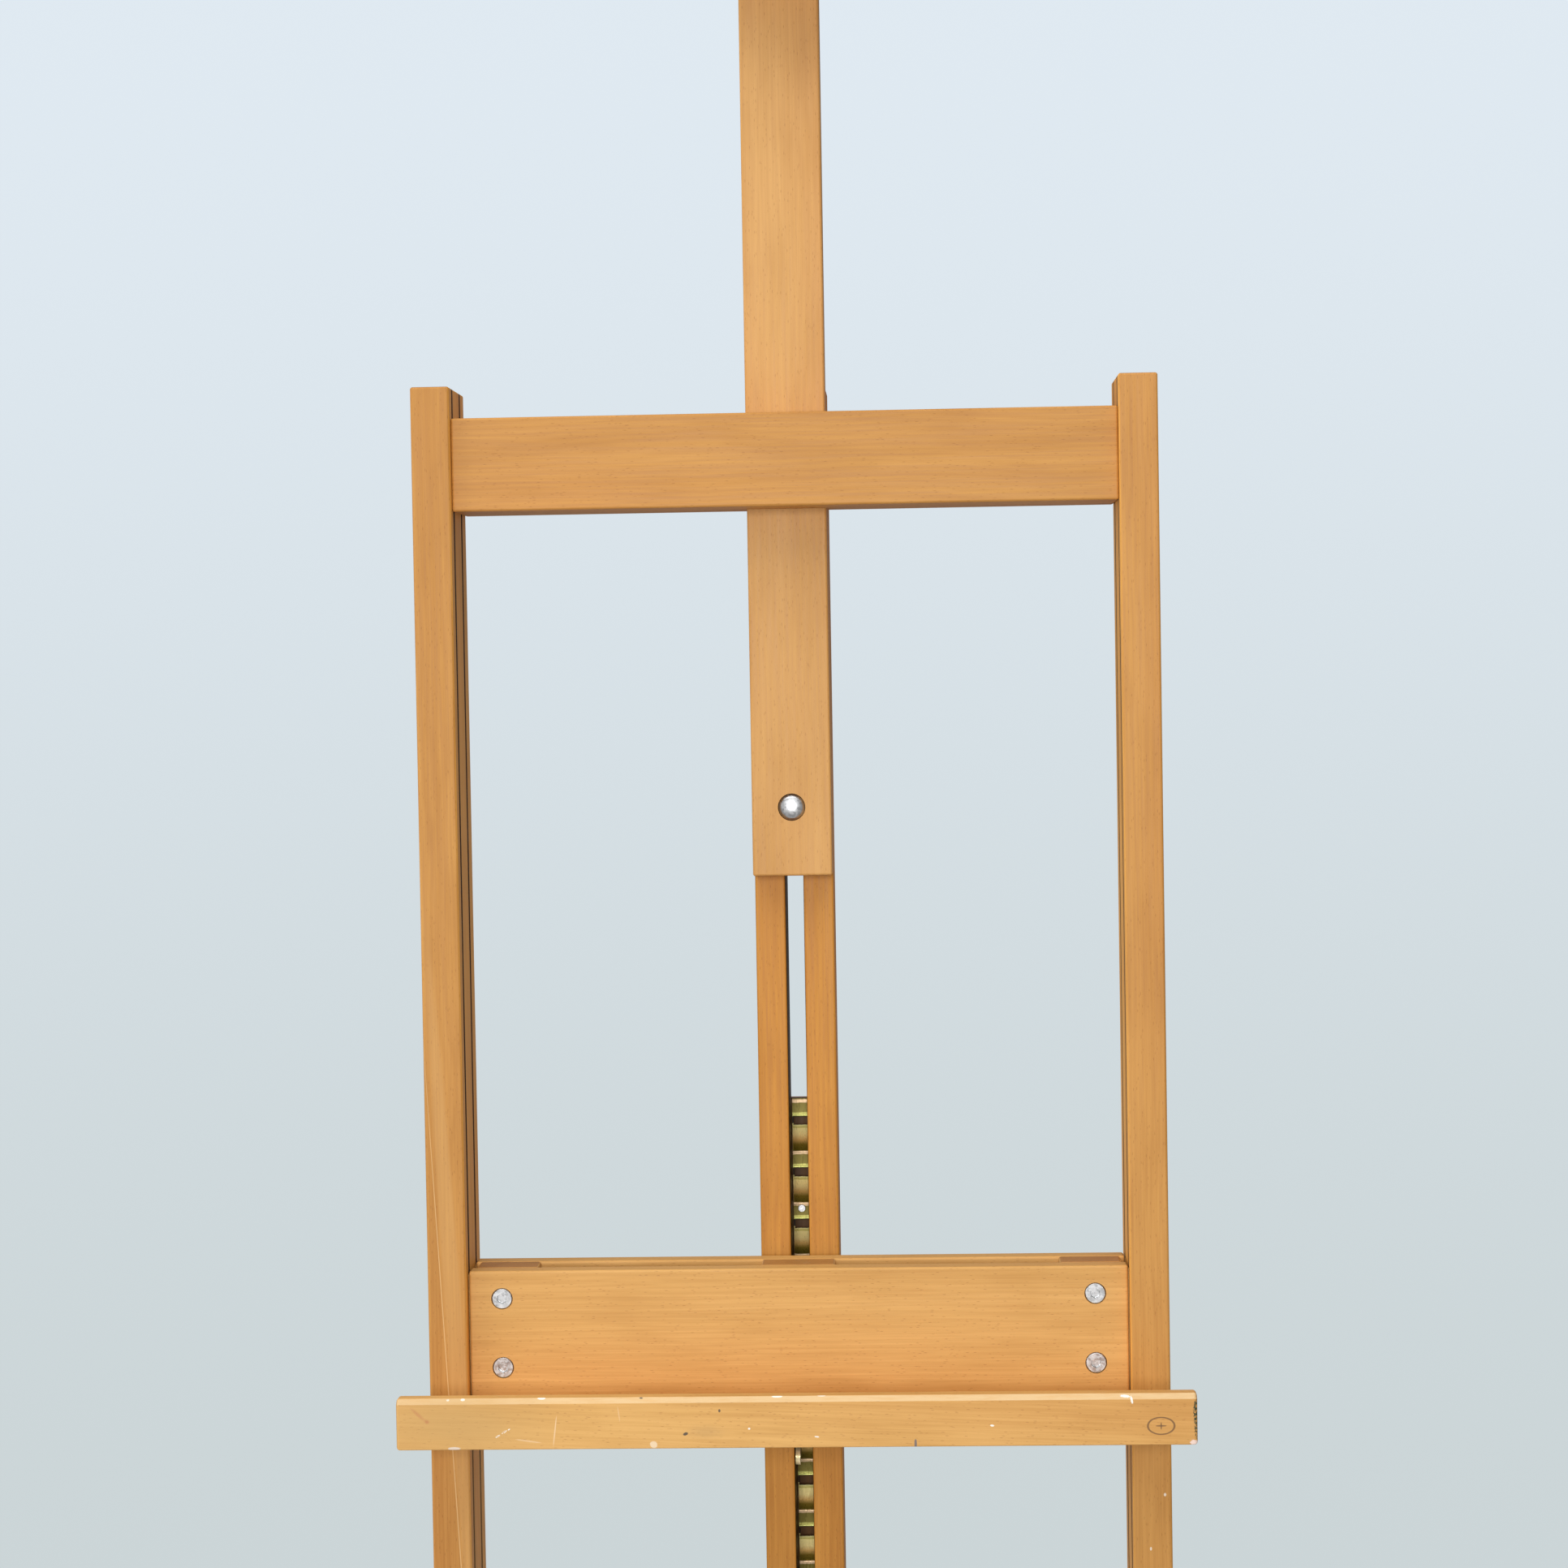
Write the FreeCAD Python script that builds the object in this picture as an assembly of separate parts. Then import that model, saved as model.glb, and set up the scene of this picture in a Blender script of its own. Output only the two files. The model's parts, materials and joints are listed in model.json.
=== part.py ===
"""H-frame studio easel: base, leaning frame, ratchet tray, sliding mast and canvas holder.

Millimetres. The front of the easel faces -Y and +Z is up. The origin is on the floor, in the
middle of the base. The leaning frame and all that slides on it are drawn in frame coordinates:
X across, Y the depth behind the front plane of the uprights, Z up along the uprights from the
axis of the base hinge. place_on_frame then leans them back and sets them on the hinge.
"""
import FreeCAD, Part
import math
import os

V = FreeCAD.Vector
ACROSS = V(1, 0, 0)
SIDES = {"left": -1, "right": 1}

# Lean and base
LEAN = 6.0
BASE_LENGTH = 600.0
RUNNER_INNER_X = 255.0
RUNNER_THICK = 28.0
RUNNER_Z = (14.0, 72.0)
RUNNER_CORNER = 30.0
HINGE_Y = -150.0
HINGE_Z = 45.0
STRUT_FOOT_Y = 250.0
FOOT_RADIUS = 15.0
FOOT_RECESS = 5.0
FOOT_Y = 262.0
CROSS_MEMBER_THICK = 25.0
CROSS_MEMBER_Z = (20.0, 62.0)
CROSS_MEMBER_BOLTS_Z = (31.0, 51.0)
FRONT_MEMBER_Y = -287.0
REAR_MEMBER_Y = 165.0

# Uprights and crossbars
UPRIGHT_OUTER_X = 239.0
UPRIGHT_WIDTH = 25.0
UPRIGHT_DEPTH = 70.0
UPRIGHT_Z = (-33.0, 1320.0)
UPRIGHT_FOOT_CORNER = 28.0
GROOVE_WIDTH = 6.0
GROOVE_DEPTH = 8.0
GROOVE_CENTRES = (15.0, 50.0)
LOWER_BAR_Z = (30.0, 90.0)
UPPER_BAR_Z = (1240.0, 1300.0)
CROSSBAR_FRONT = 6.0
CROSSBAR_FIXINGS = (15.0, 45.0)

# Centre rails and rack
RAIL_WIDTH = 20.0
SLOT_WIDTH = 12.0
RAIL_DEPTH = 45.0
RAIL_Z = (22.0, 1320.0)
RACK_PITCH = 35.0
RACK_TEETH = 19
RACK_WIDTH = 11.0
RACK_PLATE = 1.2
RACK_BACK = 42.0
TOOTH_RISE = 7.5
TOOTH_HEIGHT = 19.0
WINDOW_HEIGHT = 4.9
BEAD_RADIUS = 0.8
TEETH_PER_SCREW = 4
BATTEN_THICK = 8.0
BATTEN_HALF_WIDTH = 20.0
HEAD_PLATE_THICK = 14.0
HEAD_HALF_WIDTH = 60.0

# Tray
TRAY_Z = 650.0
TRAY_STEPS_DOWN = 12
LIP_HALF_LENGTH = 250.0
LIP_HEIGHT = 32.0
LIP_THICK = 12.0
LIP_CHAMFER = 3.2
LIP_END_ARRIS = 2.0
LIP_FRONT = -71.0
FLOOR_THICK = 15.0
CARRIAGE_BAR_THICK = 14.0
CARRIAGE_Z = (TRAY_Z - 12.0, TRAY_Z + 98.0)
TONGUE_THICK = 5.3
CARRIAGE_BOLT_X = 192.0
CATCH_NOSE_Z = TRAY_Z - 28.9
CATCH_PIN = (100.0, TRAY_Z + 10.0)
CATCH_FINGER = (75.0, TRAY_Z - 40.5)
CATCH_X = (-5.4, -2.3)
CATCH_NOSE_THICK = 2.4
CATCH_PIN_RADIUS = 2.0
BRACKET_THICK = 2.5
SPRING_X = (-2.0, 0.3)
SPRING_RADIUS = 3.6

# Mast and canvas holder
MAST_WIDTH = 52.0
MAST_THICK = 25.7
MAST_Z = (1000.0, 1880.0)
MAST_CLAMP_Z = 1045.0
CLAMP_PLATE_THICK = 9.0
CLAMP_PLATE_HALF = (24.0, 21.0)
HOLDER_Z = (1582.0, 1672.0)
HOLDER_HALF_WIDTH = 48.0
HOLDER_FRONT = -36.0
HOLDER_LIP = 9.0
HOLDER_REBATE = 16.0
HOLDER_BACK_THICK = 16.0
HOLDER_NUT_RADIUS = 6.0

# Struts
STRUT_GAP = 1.0
STRUT_THICK = 14.0
STRUT_WIDTH = 40.0
STRUT_BOLT_Z = 470.0
STRUT_REACH = (550.2, 627.7)
STRUT_SLOT_WIDTH = 10.0

# Fits and fasteners
GAP = 0.3
RUNNING = 0.06
ARRIS = 1.6
FINE_ARRIS = 0.8
WASHER_THICK = 1.6
WASHER_RADIUS = 10.0
NUT_ACROSS_FLATS = 17.0
NUT_THICK = 8.0
NUT_DEPTH = 7.0
KNOB_BORE_DEPTH = 19.0
M6 = 3.0
M8 = 4.0
M10 = 5.0

# Fastener shank radius, head radius and head height
WOOD_SCREW = (2.5, 5.0, 3.0)
SMALL_SCREW = (1.75, 3.5, 2.0)
BRACKET_SCREW = (1.75, 3.5, 1.5)
RACK_SCREW = (1.5, 2.6, 1.0)
SUNK_BOLT = (M6, 6.5, 4.0)
CROSSBAR_BOLT = (3.5, 7.0, 3.0)
CARRIAGE_BOLT = (M6, 7.0, 3.0)
STRUT_BOLT = (M8, 8.5, 4.0)
MAST_BOLT = (M8, 9.0, 4.0)
PIVOT_BOLT = (M10, 11.0, 5.0)

UPRIGHT_INNER_X = UPRIGHT_OUTER_X - UPRIGHT_WIDTH
HINGE_DEPTH = UPRIGHT_DEPTH / 2
RAIL_FRONT = UPRIGHT_DEPTH
RAIL_BACK = RAIL_FRONT + RAIL_DEPTH
RACK_FRONT = RAIL_FRONT + RACK_BACK
TOOTH_TOP = CATCH_NOSE_Z - 3.1
RACK_FIRST_TOOTH = TOOTH_TOP - TRAY_STEPS_DOWN * RACK_PITCH
RACK_Z = (RACK_FIRST_TOOTH - 26.0, RACK_FIRST_TOOTH + RACK_TEETH * RACK_PITCH - 18.0)
MAST_FRONT = RAIL_FRONT - GAP - MAST_THICK
MAST_BACK = RAIL_FRONT - GAP
CLAMP_PLATE_Y = (RAIL_BACK + GAP, RAIL_BACK + GAP + CLAMP_PLATE_THICK)
HOLDER_JAW_Y = (MAST_FRONT - GAP, MAST_BACK + GAP)
HOLDER_BACK_Y = (HOLDER_JAW_Y[1], HOLDER_JAW_Y[1] + HOLDER_BACK_THICK)
HOLDER_SCREW_Z = sum(HOLDER_Z) / 2
STRUT_X = (UPRIGHT_OUTER_X + STRUT_GAP, UPRIGHT_OUTER_X + STRUT_GAP + STRUT_THICK)
RUNNER_OUTER_X = RUNNER_INNER_X + RUNNER_THICK
RUNNER_MIDDLE_X = RUNNER_INNER_X + RUNNER_THICK / 2


# Building blocks -----------------------------------------------------------------------------

def box(x, y, z):
    """Sharp block between the (low, high) pairs x, y and z."""
    return Part.makeBox(x[1] - x[0], y[1] - y[0], z[1] - z[0], V(x[0], y[0], z[0]))


def board(x, y, z, arris=ARRIS):
    """Block with every edge rounded, as a sanded board has."""
    block = box(x, y, z)
    return block.makeFillet(arris, block.Edges)


def rod(start, end, radius):
    """Round bar from start to end, both (x, y, z)."""
    along = V(*end) - V(*start)
    return Part.makeCylinder(radius, along.Length, V(*start), along)


def headed(start, end, radius, head_radius, head_height):
    """Bolt or screw whose head begins at start and whose shank ends at end."""
    along = (V(*end) - V(*start)).normalize()
    head_end = V(*start) + along * head_height
    head = rod(start, tuple(head_end), head_radius)
    return head.fuse(rod(tuple(head_end), end, radius))


def hexagon(start, end, across_flats):
    """Hexagonal bar from start to end."""
    along = V(*end) - V(*start)
    corner = across_flats / math.sqrt(3)
    turns = [math.radians(60 * i) for i in range(7)]
    points = [V(corner * math.cos(turn), corner * math.sin(turn), 0) for turn in turns]
    bar = Part.Face(Part.makePolygon(points)).extrude(V(0, 0, along.Length))
    bar.Placement = FreeCAD.Placement(V(*start), FreeCAD.Rotation(V(0, 0, 1), along))
    return bar


def stadium(first, second, radius, x):
    """Flat bar with round ends in a Y-Z plane, centred on two (y, z) points, between the x pair."""
    a = V(x[0], *first)
    b = V(x[0], *second)
    along = (b - a).normalize()
    aside = ACROSS.cross(along) * radius
    ahead = along * radius
    side_one = Part.LineSegment(a + aside, b + aside)
    end_one = Part.Arc(b + aside, b + ahead, b - aside)
    side_two = Part.LineSegment(b - aside, a - aside)
    end_two = Part.Arc(a - aside, a - ahead, a + aside)
    outline = Part.Wire([edge.toShape() for edge in (side_one, end_one, side_two, end_two)])
    return Part.Face(outline).extrude(V(x[1] - x[0], 0, 0))


def prism(points, x):
    """Solid with an outline of (y, z) points, between the x pair."""
    corners = [V(x[0], *point) for point in points + points[:1]]
    return Part.Face(Part.makePolygon(corners)).extrude(V(x[1] - x[0], 0, 0))


def joined(shapes):
    """One solid from touching shapes."""
    whole = shapes[0]
    for shape in shapes[1:]:
        whole = whole.fuse(shape)
    return whole.removeSplitter()


def cut_by(shape, tools):
    """Shape with each tool taken out of it."""
    for tool in tools:
        shape = shape.cut(tool)
    return shape


def mirrored(shape):
    """Copy on the other side of the middle plane."""
    return shape.mirror(V(0, 0, 0), ACROSS)


def on_side(shape, side):
    """Shape drawn on the right-hand side, moved to the named side."""
    return shape if SIDES[side] > 0 else mirrored(shape)


def both_sides(shapes):
    """Shapes drawn on the right-hand side, with their mirror images."""
    return shapes + [mirrored(shape) for shape in shapes]


def group(shapes):
    """Several separate solids as one shape."""
    return Part.makeCompound(shapes)


def lobed_knob(start, outward, bore_radius, bore_depth):
    """Six-lobed hand knob on a short hub, with a blind bore from its inner face."""
    radius, hub_radius = 20.0, 10.0
    hub_height, height = 8.0, 26.0
    scallop_radius, scallop_distance = 9.0, 25.0
    hub = Part.makeCylinder(hub_radius, hub_height)
    head = Part.makeCylinder(radius, height - hub_height, V(0, 0, hub_height))
    for lobe in range(6):
        turn = math.radians(60 * lobe)
        place = V(scallop_distance * math.cos(turn), scallop_distance * math.sin(turn), hub_height - 1)
        head = head.cut(Part.makeCylinder(scallop_radius, height, place))
    head = head.makeFillet(2.0, head.Edges)
    knob = hub.fuse(head).removeSplitter()
    knob = knob.cut(Part.makeCylinder(bore_radius, bore_depth))
    knob.Placement = FreeCAD.Placement(V(*start), FreeCAD.Rotation(V(0, 0, 1), V(*outward)))
    return knob


def washer(start, outward, bore_radius):
    """Flat washer that lies against start."""
    disc = Part.makeCylinder(WASHER_RADIUS, WASHER_THICK)
    disc = disc.cut(Part.makeCylinder(bore_radius, WASHER_THICK))
    disc.Placement = FreeCAD.Placement(V(*start), FreeCAD.Rotation(V(0, 0, 1), V(*outward)))
    return disc


def place_on_frame(shape):
    """Frame coordinates to the easel's own coordinates."""
    moved = shape.copy()
    moved.translate(V(0, -HINGE_DEPTH, 0))
    moved.rotate(V(0, 0, 0), ACROSS, -LEAN)
    moved.translate(V(0, HINGE_Y, HINGE_Z))
    return moved


# Base ----------------------------------------------------------------------------------------

def cross_member_bolts():
    """Two bolts at each end of each cross-member, heads sunk in the runners."""
    tip = RUNNER_OUTER_X - 70
    bolts = []
    for y in (FRONT_MEMBER_Y, REAR_MEMBER_Y):
        for z in CROSS_MEMBER_BOLTS_Z:
            middle = y + CROSS_MEMBER_THICK / 2
            bolts.append(headed((RUNNER_OUTER_X, middle, z), (tip, middle, z), *SUNK_BOLT))
    return both_sides(bolts)


def hinge_bolts():
    """Bolts that the uprights turn on, fixed in the runners."""
    place = (HINGE_Y, HINGE_Z)
    start = UPRIGHT_INNER_X - GAP - PIVOT_BOLT[2]
    return both_sides([headed((start, *place), (RUNNER_OUTER_X + NUT_DEPTH, *place), *PIVOT_BOLT)])


def hinge_spacers():
    """Discs that hold each upright one strut's thickness inside its runner."""
    x = (UPRIGHT_OUTER_X + GAP, RUNNER_INNER_X)
    disc = rod((x[0], HINGE_Y, HINGE_Z), (x[1], HINGE_Y, HINGE_Z), 19.0)
    hole = rod((x[0], HINGE_Y, HINGE_Z), (x[1], HINGE_Y, HINGE_Z), M10)
    return both_sides([disc.cut(hole)])


def strut_foot_bolts():
    """Bolts that the struts turn on, at the back of the runners."""
    place = (STRUT_FOOT_Y, HINGE_Z)
    start = STRUT_X[0] - GAP - PIVOT_BOLT[2]
    return both_sides([headed((start, *place), (RUNNER_OUTER_X + NUT_DEPTH, *place), *PIVOT_BOLT)])


def pivot_nuts():
    """Nuts on the outer ends of the four pivot bolts."""
    face = RUNNER_OUTER_X
    nuts = []
    for y in (HINGE_Y, STRUT_FOOT_Y):
        bar = hexagon((face, y, HINGE_Z), (face + NUT_THICK, y, HINGE_Z), NUT_ACROSS_FLATS)
        nuts.append(bar.cut(rod((face, y, HINGE_Z), (face + NUT_DEPTH, y, HINGE_Z), M10)))
    return both_sides(nuts)


def foot_screws():
    """Screws that hold the rubber feet under the runners."""
    x = RUNNER_MIDDLE_X
    end = RUNNER_Z[0] + 16
    return both_sides([headed((x, y, FOOT_RECESS), (x, y, end), *WOOD_SCREW) for y in (-FOOT_Y, FOOT_Y)])


def rubber_feet():
    """Four round feet, hollow under the screw heads."""
    x = RUNNER_MIDDLE_X
    feet = []
    for y in (-FOOT_Y, FOOT_Y):
        foot = Part.makeCone(FOOT_RADIUS - 2, FOOT_RADIUS, RUNNER_Z[0], V(x, y, 0))
        recess = rod((x, y, 0), (x, y, FOOT_RECESS), WOOD_SCREW[1])
        feet.append(cut_by(foot, [recess] + foot_screws()))
    return both_sides(feet)


def runner(side):
    """Side runner with quarter-round top corners at both ends."""
    block = box((RUNNER_INNER_X, RUNNER_OUTER_X), (-BASE_LENGTH / 2, BASE_LENGTH / 2), RUNNER_Z)
    corners = [e for e in block.Edges if e.BoundBox.ZMin > RUNNER_Z[1] - 1 and e.BoundBox.XLength > 1]
    block = block.makeFillet(RUNNER_CORNER, corners)
    block = block.makeFillet(ARRIS, block.Edges)
    fixings = cross_member_bolts() + hinge_bolts() + strut_foot_bolts() + foot_screws()
    return on_side(cut_by(block, fixings), side)


def cross_member(y):
    """Board between the runners."""
    x = (-RUNNER_INNER_X, RUNNER_INNER_X)
    return cut_by(board(x, (y, y + CROSS_MEMBER_THICK), CROSS_MEMBER_Z), cross_member_bolts())


# Leaning frame -------------------------------------------------------------------------------

def crossbar_bolts():
    """Bolts through the uprights into the ends of the crossbars, heads sunk flush."""
    bolts = []
    for low in (LOWER_BAR_Z[0], UPPER_BAR_Z[0]):
        for rise in CROSSBAR_FIXINGS:
            place = (HINGE_DEPTH, low + rise)
            bolts.append(headed((UPRIGHT_OUTER_X, *place), (UPRIGHT_INNER_X - 40, *place), *CROSSBAR_BOLT))
    return both_sides(bolts)


def strut_bolts():
    """Bolts for the strut knobs, heads sunk in the inner faces of the uprights."""
    place = (HINGE_DEPTH, STRUT_BOLT_Z)
    start = (UPRIGHT_INNER_X + 1, *place)
    return both_sides([headed(start, (STRUT_X[1] + 20, *place), *STRUT_BOLT)])


def strut_washers():
    """Washers under the strut knobs."""
    place = (HINGE_DEPTH, STRUT_BOLT_Z)
    return both_sides([washer((STRUT_X[1] + GAP, *place), (1, 0, 0), M8)])


def upright(side):
    """Grooved side post with a rounded foot that turns on the hinge bolt."""
    x = (UPRIGHT_INNER_X, UPRIGHT_OUTER_X)
    block = box(x, (0, UPRIGHT_DEPTH), UPRIGHT_Z)
    feet = [e for e in block.Edges if e.BoundBox.ZMax < UPRIGHT_Z[0] + 1 and e.BoundBox.XLength > 1]
    block = block.makeFillet(UPRIGHT_FOOT_CORNER, feet)
    block = block.makeFillet(ARRIS, block.Edges)
    grooves = []
    for centre in GROOVE_CENTRES:
        y = (centre - GROOVE_WIDTH / 2, centre + GROOVE_WIDTH / 2)
        z = (UPRIGHT_Z[0] - 1, UPRIGHT_Z[1] + 1)
        grooves.append(box((UPRIGHT_INNER_X - 1, UPRIGHT_INNER_X + GROOVE_DEPTH), y, z))
    hinge_hole = rod((x[0] - 1, HINGE_DEPTH, 0), (x[1] + 1, HINGE_DEPTH, 0), M10 + RUNNING)
    bolt_place = (HINGE_DEPTH, STRUT_BOLT_Z)
    counterbore = rod((x[0] - 1, *bolt_place), (x[0] + 1, *bolt_place), STRUT_BOLT[1])
    tools = grooves + [counterbore, hinge_hole] + crossbar_bolts() + strut_bolts()
    return on_side(cut_by(block, tools), side)


def rail_screws():
    """Screws from behind that hold the rails to the lower crossbar."""
    x = (SLOT_WIDTH + RAIL_WIDTH) / 2
    z_places = [LOWER_BAR_Z[0] + rise for rise in CROSSBAR_FIXINGS]
    screws = [headed((x, RAIL_BACK, z), (x, RAIL_FRONT - 30, z), *WOOD_SCREW) for z in z_places]
    return both_sides(screws)


def head_bolts():
    """Bolts from behind through the head plate and head blocks into the upper crossbar."""
    x = HEAD_HALF_WIDTH - 18
    z = sum(UPPER_BAR_Z) / 2
    return both_sides([headed((x, RAIL_BACK + HEAD_PLATE_THICK, z), (x, CROSSBAR_FRONT + 16, z), *SUNK_BOLT)])


def lower_crossbar():
    """Board between the feet of the uprights."""
    x = (-UPRIGHT_INNER_X, UPRIGHT_INNER_X)
    bar = board(x, (CROSSBAR_FRONT, UPRIGHT_DEPTH), LOWER_BAR_Z)
    return cut_by(bar, crossbar_bolts() + rail_screws())


def upper_crossbar():
    """Board between the uprights, notched at the back for the mast."""
    x = (-UPRIGHT_INNER_X, UPRIGHT_INNER_X)
    bar = board(x, (CROSSBAR_FRONT, UPRIGHT_DEPTH), UPPER_BAR_Z)
    half = MAST_WIDTH / 2 + GAP
    notch = box((-half, half), (MAST_FRONT - GAP, RAIL_FRONT + 1), (UPPER_BAR_Z[0] - 1, UPPER_BAR_Z[1] + 1))
    return cut_by(bar, [notch] + crossbar_bolts() + head_bolts())


def rail(side):
    """One of the two centre rails that leave the slot between them."""
    x = (SLOT_WIDTH / 2, SLOT_WIDTH / 2 + RAIL_WIDTH)
    return on_side(cut_by(board(x, (RAIL_FRONT, RAIL_BACK), RAIL_Z), rail_screws()), side)


def slot_spacers():
    """Blocks that keep the rails apart at the foot and the head."""
    half = SLOT_WIDTH / 2
    spans = (LOWER_BAR_Z, (UPPER_BAR_Z[1] - 40, RAIL_Z[1] - 2))
    return [box((-half, half), (RAIL_FRONT + 2, RAIL_BACK - 2), span) for span in spans]


def head_blocks():
    """Blocks on either side of the rails, behind the upper crossbar."""
    x = (SLOT_WIDTH / 2 + RAIL_WIDTH, HEAD_HALF_WIDTH)
    z = (UPPER_BAR_Z[0] + 6, UPPER_BAR_Z[1] - 6)
    return both_sides([cut_by(board(x, (RAIL_FRONT, RAIL_BACK), z), head_bolts())])


def head_plate():
    """Plate behind the rails that the head bolts draw up."""
    z = (UPPER_BAR_Z[0] + 6, UPPER_BAR_Z[1] - 6)
    plate = board((-HEAD_HALF_WIDTH, HEAD_HALF_WIDTH), (RAIL_BACK, RAIL_BACK + HEAD_PLATE_THICK), z)
    return cut_by(plate, head_bolts())


def rack_screws():
    """Screws through the flats of the rack into its batten, one every fourth tooth."""
    screws = []
    for tooth in range(1, RACK_TEETH, TEETH_PER_SCREW):
        z = RACK_FIRST_TOOTH + tooth * RACK_PITCH - TOOTH_HEIGHT - 3.8
        start, end = RACK_FRONT - RACK_SCREW[2], RAIL_BACK + BATTEN_THICK - 1
        screws.append(headed((0, start, z), (0, end, z), *RACK_SCREW))
    return screws


def rack_batten():
    """Batten behind the rails that closes the slot behind the rack."""
    back_strip = board((-BATTEN_HALF_WIDTH, BATTEN_HALF_WIDTH), (RAIL_BACK, RAIL_BACK + BATTEN_THICK), RACK_Z)
    half = SLOT_WIDTH / 2
    filler = box((-half, half), (RACK_FRONT + RACK_PLATE, RAIL_BACK + 1), RACK_Z)
    whole = joined([back_strip, filler])
    tops = [RACK_FIRST_TOOTH + tooth * RACK_PITCH for tooth in range(RACK_TEETH)]
    pocket_y = (RACK_FRONT, RAIL_BACK + 2)
    pockets = [box((-4.6, 4.6), pocket_y, (top - 6, top + WINDOW_HEIGHT + 1)) for top in tops]
    return cut_by(whole, pockets + rack_screws())


def batten_screws():
    """Screws that hold the batten to the rails."""
    x = BATTEN_HALF_WIDTH - 6
    spots = [RACK_Z[0] + 20, sum(RACK_Z) / 2, RACK_Z[1] - 20]
    start, end = RAIL_BACK + BATTEN_THICK, RAIL_BACK - 16
    return both_sides([headed((x, start, z), (x, end, z), *SMALL_SCREW) for z in spots])


def rack_tooth(top):
    """Curved tongue pressed out of the strip, proud at its top edge."""
    foot = top - TOOTH_HEIGHT
    half = RACK_WIDTH / 2 - 0.5
    crest = RACK_FRONT - TOOTH_RISE
    belly_z = foot + 0.55 * TOOTH_HEIGHT
    belly = RACK_FRONT - 0.75 * TOOTH_RISE
    face = Part.Arc(V(-half, RACK_FRONT, foot), V(-half, belly, belly_z), V(-half, crest, top))
    back = Part.Arc(V(-half, crest + RACK_PLATE, top), V(-half, belly + RACK_PLATE, belly_z - 0.5),
                    V(-half, RACK_FRONT + RACK_PLATE, foot))
    edge = Part.LineSegment(V(-half, crest, top), V(-half, crest + RACK_PLATE, top))
    root = Part.LineSegment(V(-half, RACK_FRONT + RACK_PLATE, foot), V(-half, RACK_FRONT, foot))
    outline = Part.Wire([curve.toShape() for curve in (face, edge, back, root)])
    return Part.Face(outline).extrude(V(2 * half, 0, 0))


def rack_strip():
    """Pressed ratchet strip: a plate with a window above each tongue and beads between."""
    half = RACK_WIDTH / 2
    plate = box((-half, half), (RACK_FRONT, RACK_FRONT + RACK_PLATE), RACK_Z)
    tops = [RACK_FIRST_TOOTH + tooth * RACK_PITCH for tooth in range(RACK_TEETH)]
    opening_y = (RACK_FRONT - 1, RACK_FRONT + RACK_PLATE + 1)
    windows = []
    ridges = []
    for top in tops:
        z = (top - TOOTH_HEIGHT + 1, top + WINDOW_HEIGHT)
        windows.append(box((-half + 0.7, half - 0.7), opening_y, z))
        for ridge_z in (top - TOOTH_HEIGHT - 0.4, top + WINDOW_HEIGHT + 0.6):
            ends = [(x, RACK_FRONT, ridge_z) for x in (-half + 0.3, half - 0.3)]
            ridges.append(rod(*ends, BEAD_RADIUS))
    plate = cut_by(plate, windows)
    strip = plate.multiFuse([rack_tooth(top) for top in tops] + ridges)
    return cut_by(strip.removeSplitter(), rack_screws())


# Tray ----------------------------------------------------------------------------------------

def lip_dowels():
    """Dowels between the lip and the tray floor."""
    z = TRAY_Z + FLOOR_THICK / 2
    places = (25.0, 125.0, 225.0)
    back = LIP_FRONT + LIP_THICK
    return both_sides([rod((x, back - 8, z), (x, back + 16, z), M8) for x in places])


def tray_lip():
    """Long front lip with a chamfered front top edge."""
    x = (-LIP_HALF_LENGTH, LIP_HALF_LENGTH)
    back = LIP_FRONT + LIP_THICK
    top = TRAY_Z + LIP_HEIGHT
    points = [(LIP_FRONT, TRAY_Z), (back, TRAY_Z), (back, top),
              (LIP_FRONT + LIP_CHAMFER, top), (LIP_FRONT, top - LIP_CHAMFER)]
    lip = prism(points, x)
    lip = lip.makeFillet(FINE_ARRIS, [edge for edge in lip.Edges if edge.BoundBox.XLength > 1])
    lip = lip.makeFillet(LIP_END_ARRIS, [edge for edge in lip.Edges if edge.BoundBox.XLength < 1])
    return cut_by(lip, lip_dowels())


def floor_screws():
    """Screws from the carriage into the back edge of the tray floor."""
    z = TRAY_Z + FLOOR_THICK / 2
    start = GROOVE_CENTRES[0] + CARRIAGE_BAR_THICK / 2
    return both_sides([headed((x, start, z), (x, -34.0, z), *WOOD_SCREW) for x in (60.0, 150.0)])


def tray_floor():
    """Ledge that the canvas stands on, let in between the uprights at the back."""
    z = (TRAY_Z, TRAY_Z + FLOOR_THICK)
    half = UPRIGHT_OUTER_X - 1
    ledge = board((-half, half), (LIP_FRONT + LIP_THICK, -1.0), z, FINE_ARRIS)
    neck_half = UPRIGHT_INNER_X - 2
    neck_end = GROOVE_CENTRES[0] - CARRIAGE_BAR_THICK / 2
    neck = box((-neck_half, neck_half), (-5.0, neck_end), (z[0] + 1, z[1]))
    return cut_by(joined([ledge, neck]), lip_dowels() + floor_screws())


def carriage_bolts():
    """Bolts that clamp the two carriage bars to the blocks between them."""
    front = GROOVE_CENTRES[0] - CARRIAGE_BAR_THICK / 2
    back = GROOVE_CENTRES[1] + CARRIAGE_BAR_THICK / 2
    x = CARRIAGE_BOLT_X
    z_places = (TRAY_Z + 35, TRAY_Z + 80)
    return both_sides([headed((x, front, z), (x, back, z), *CARRIAGE_BOLT) for z in z_places])


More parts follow.
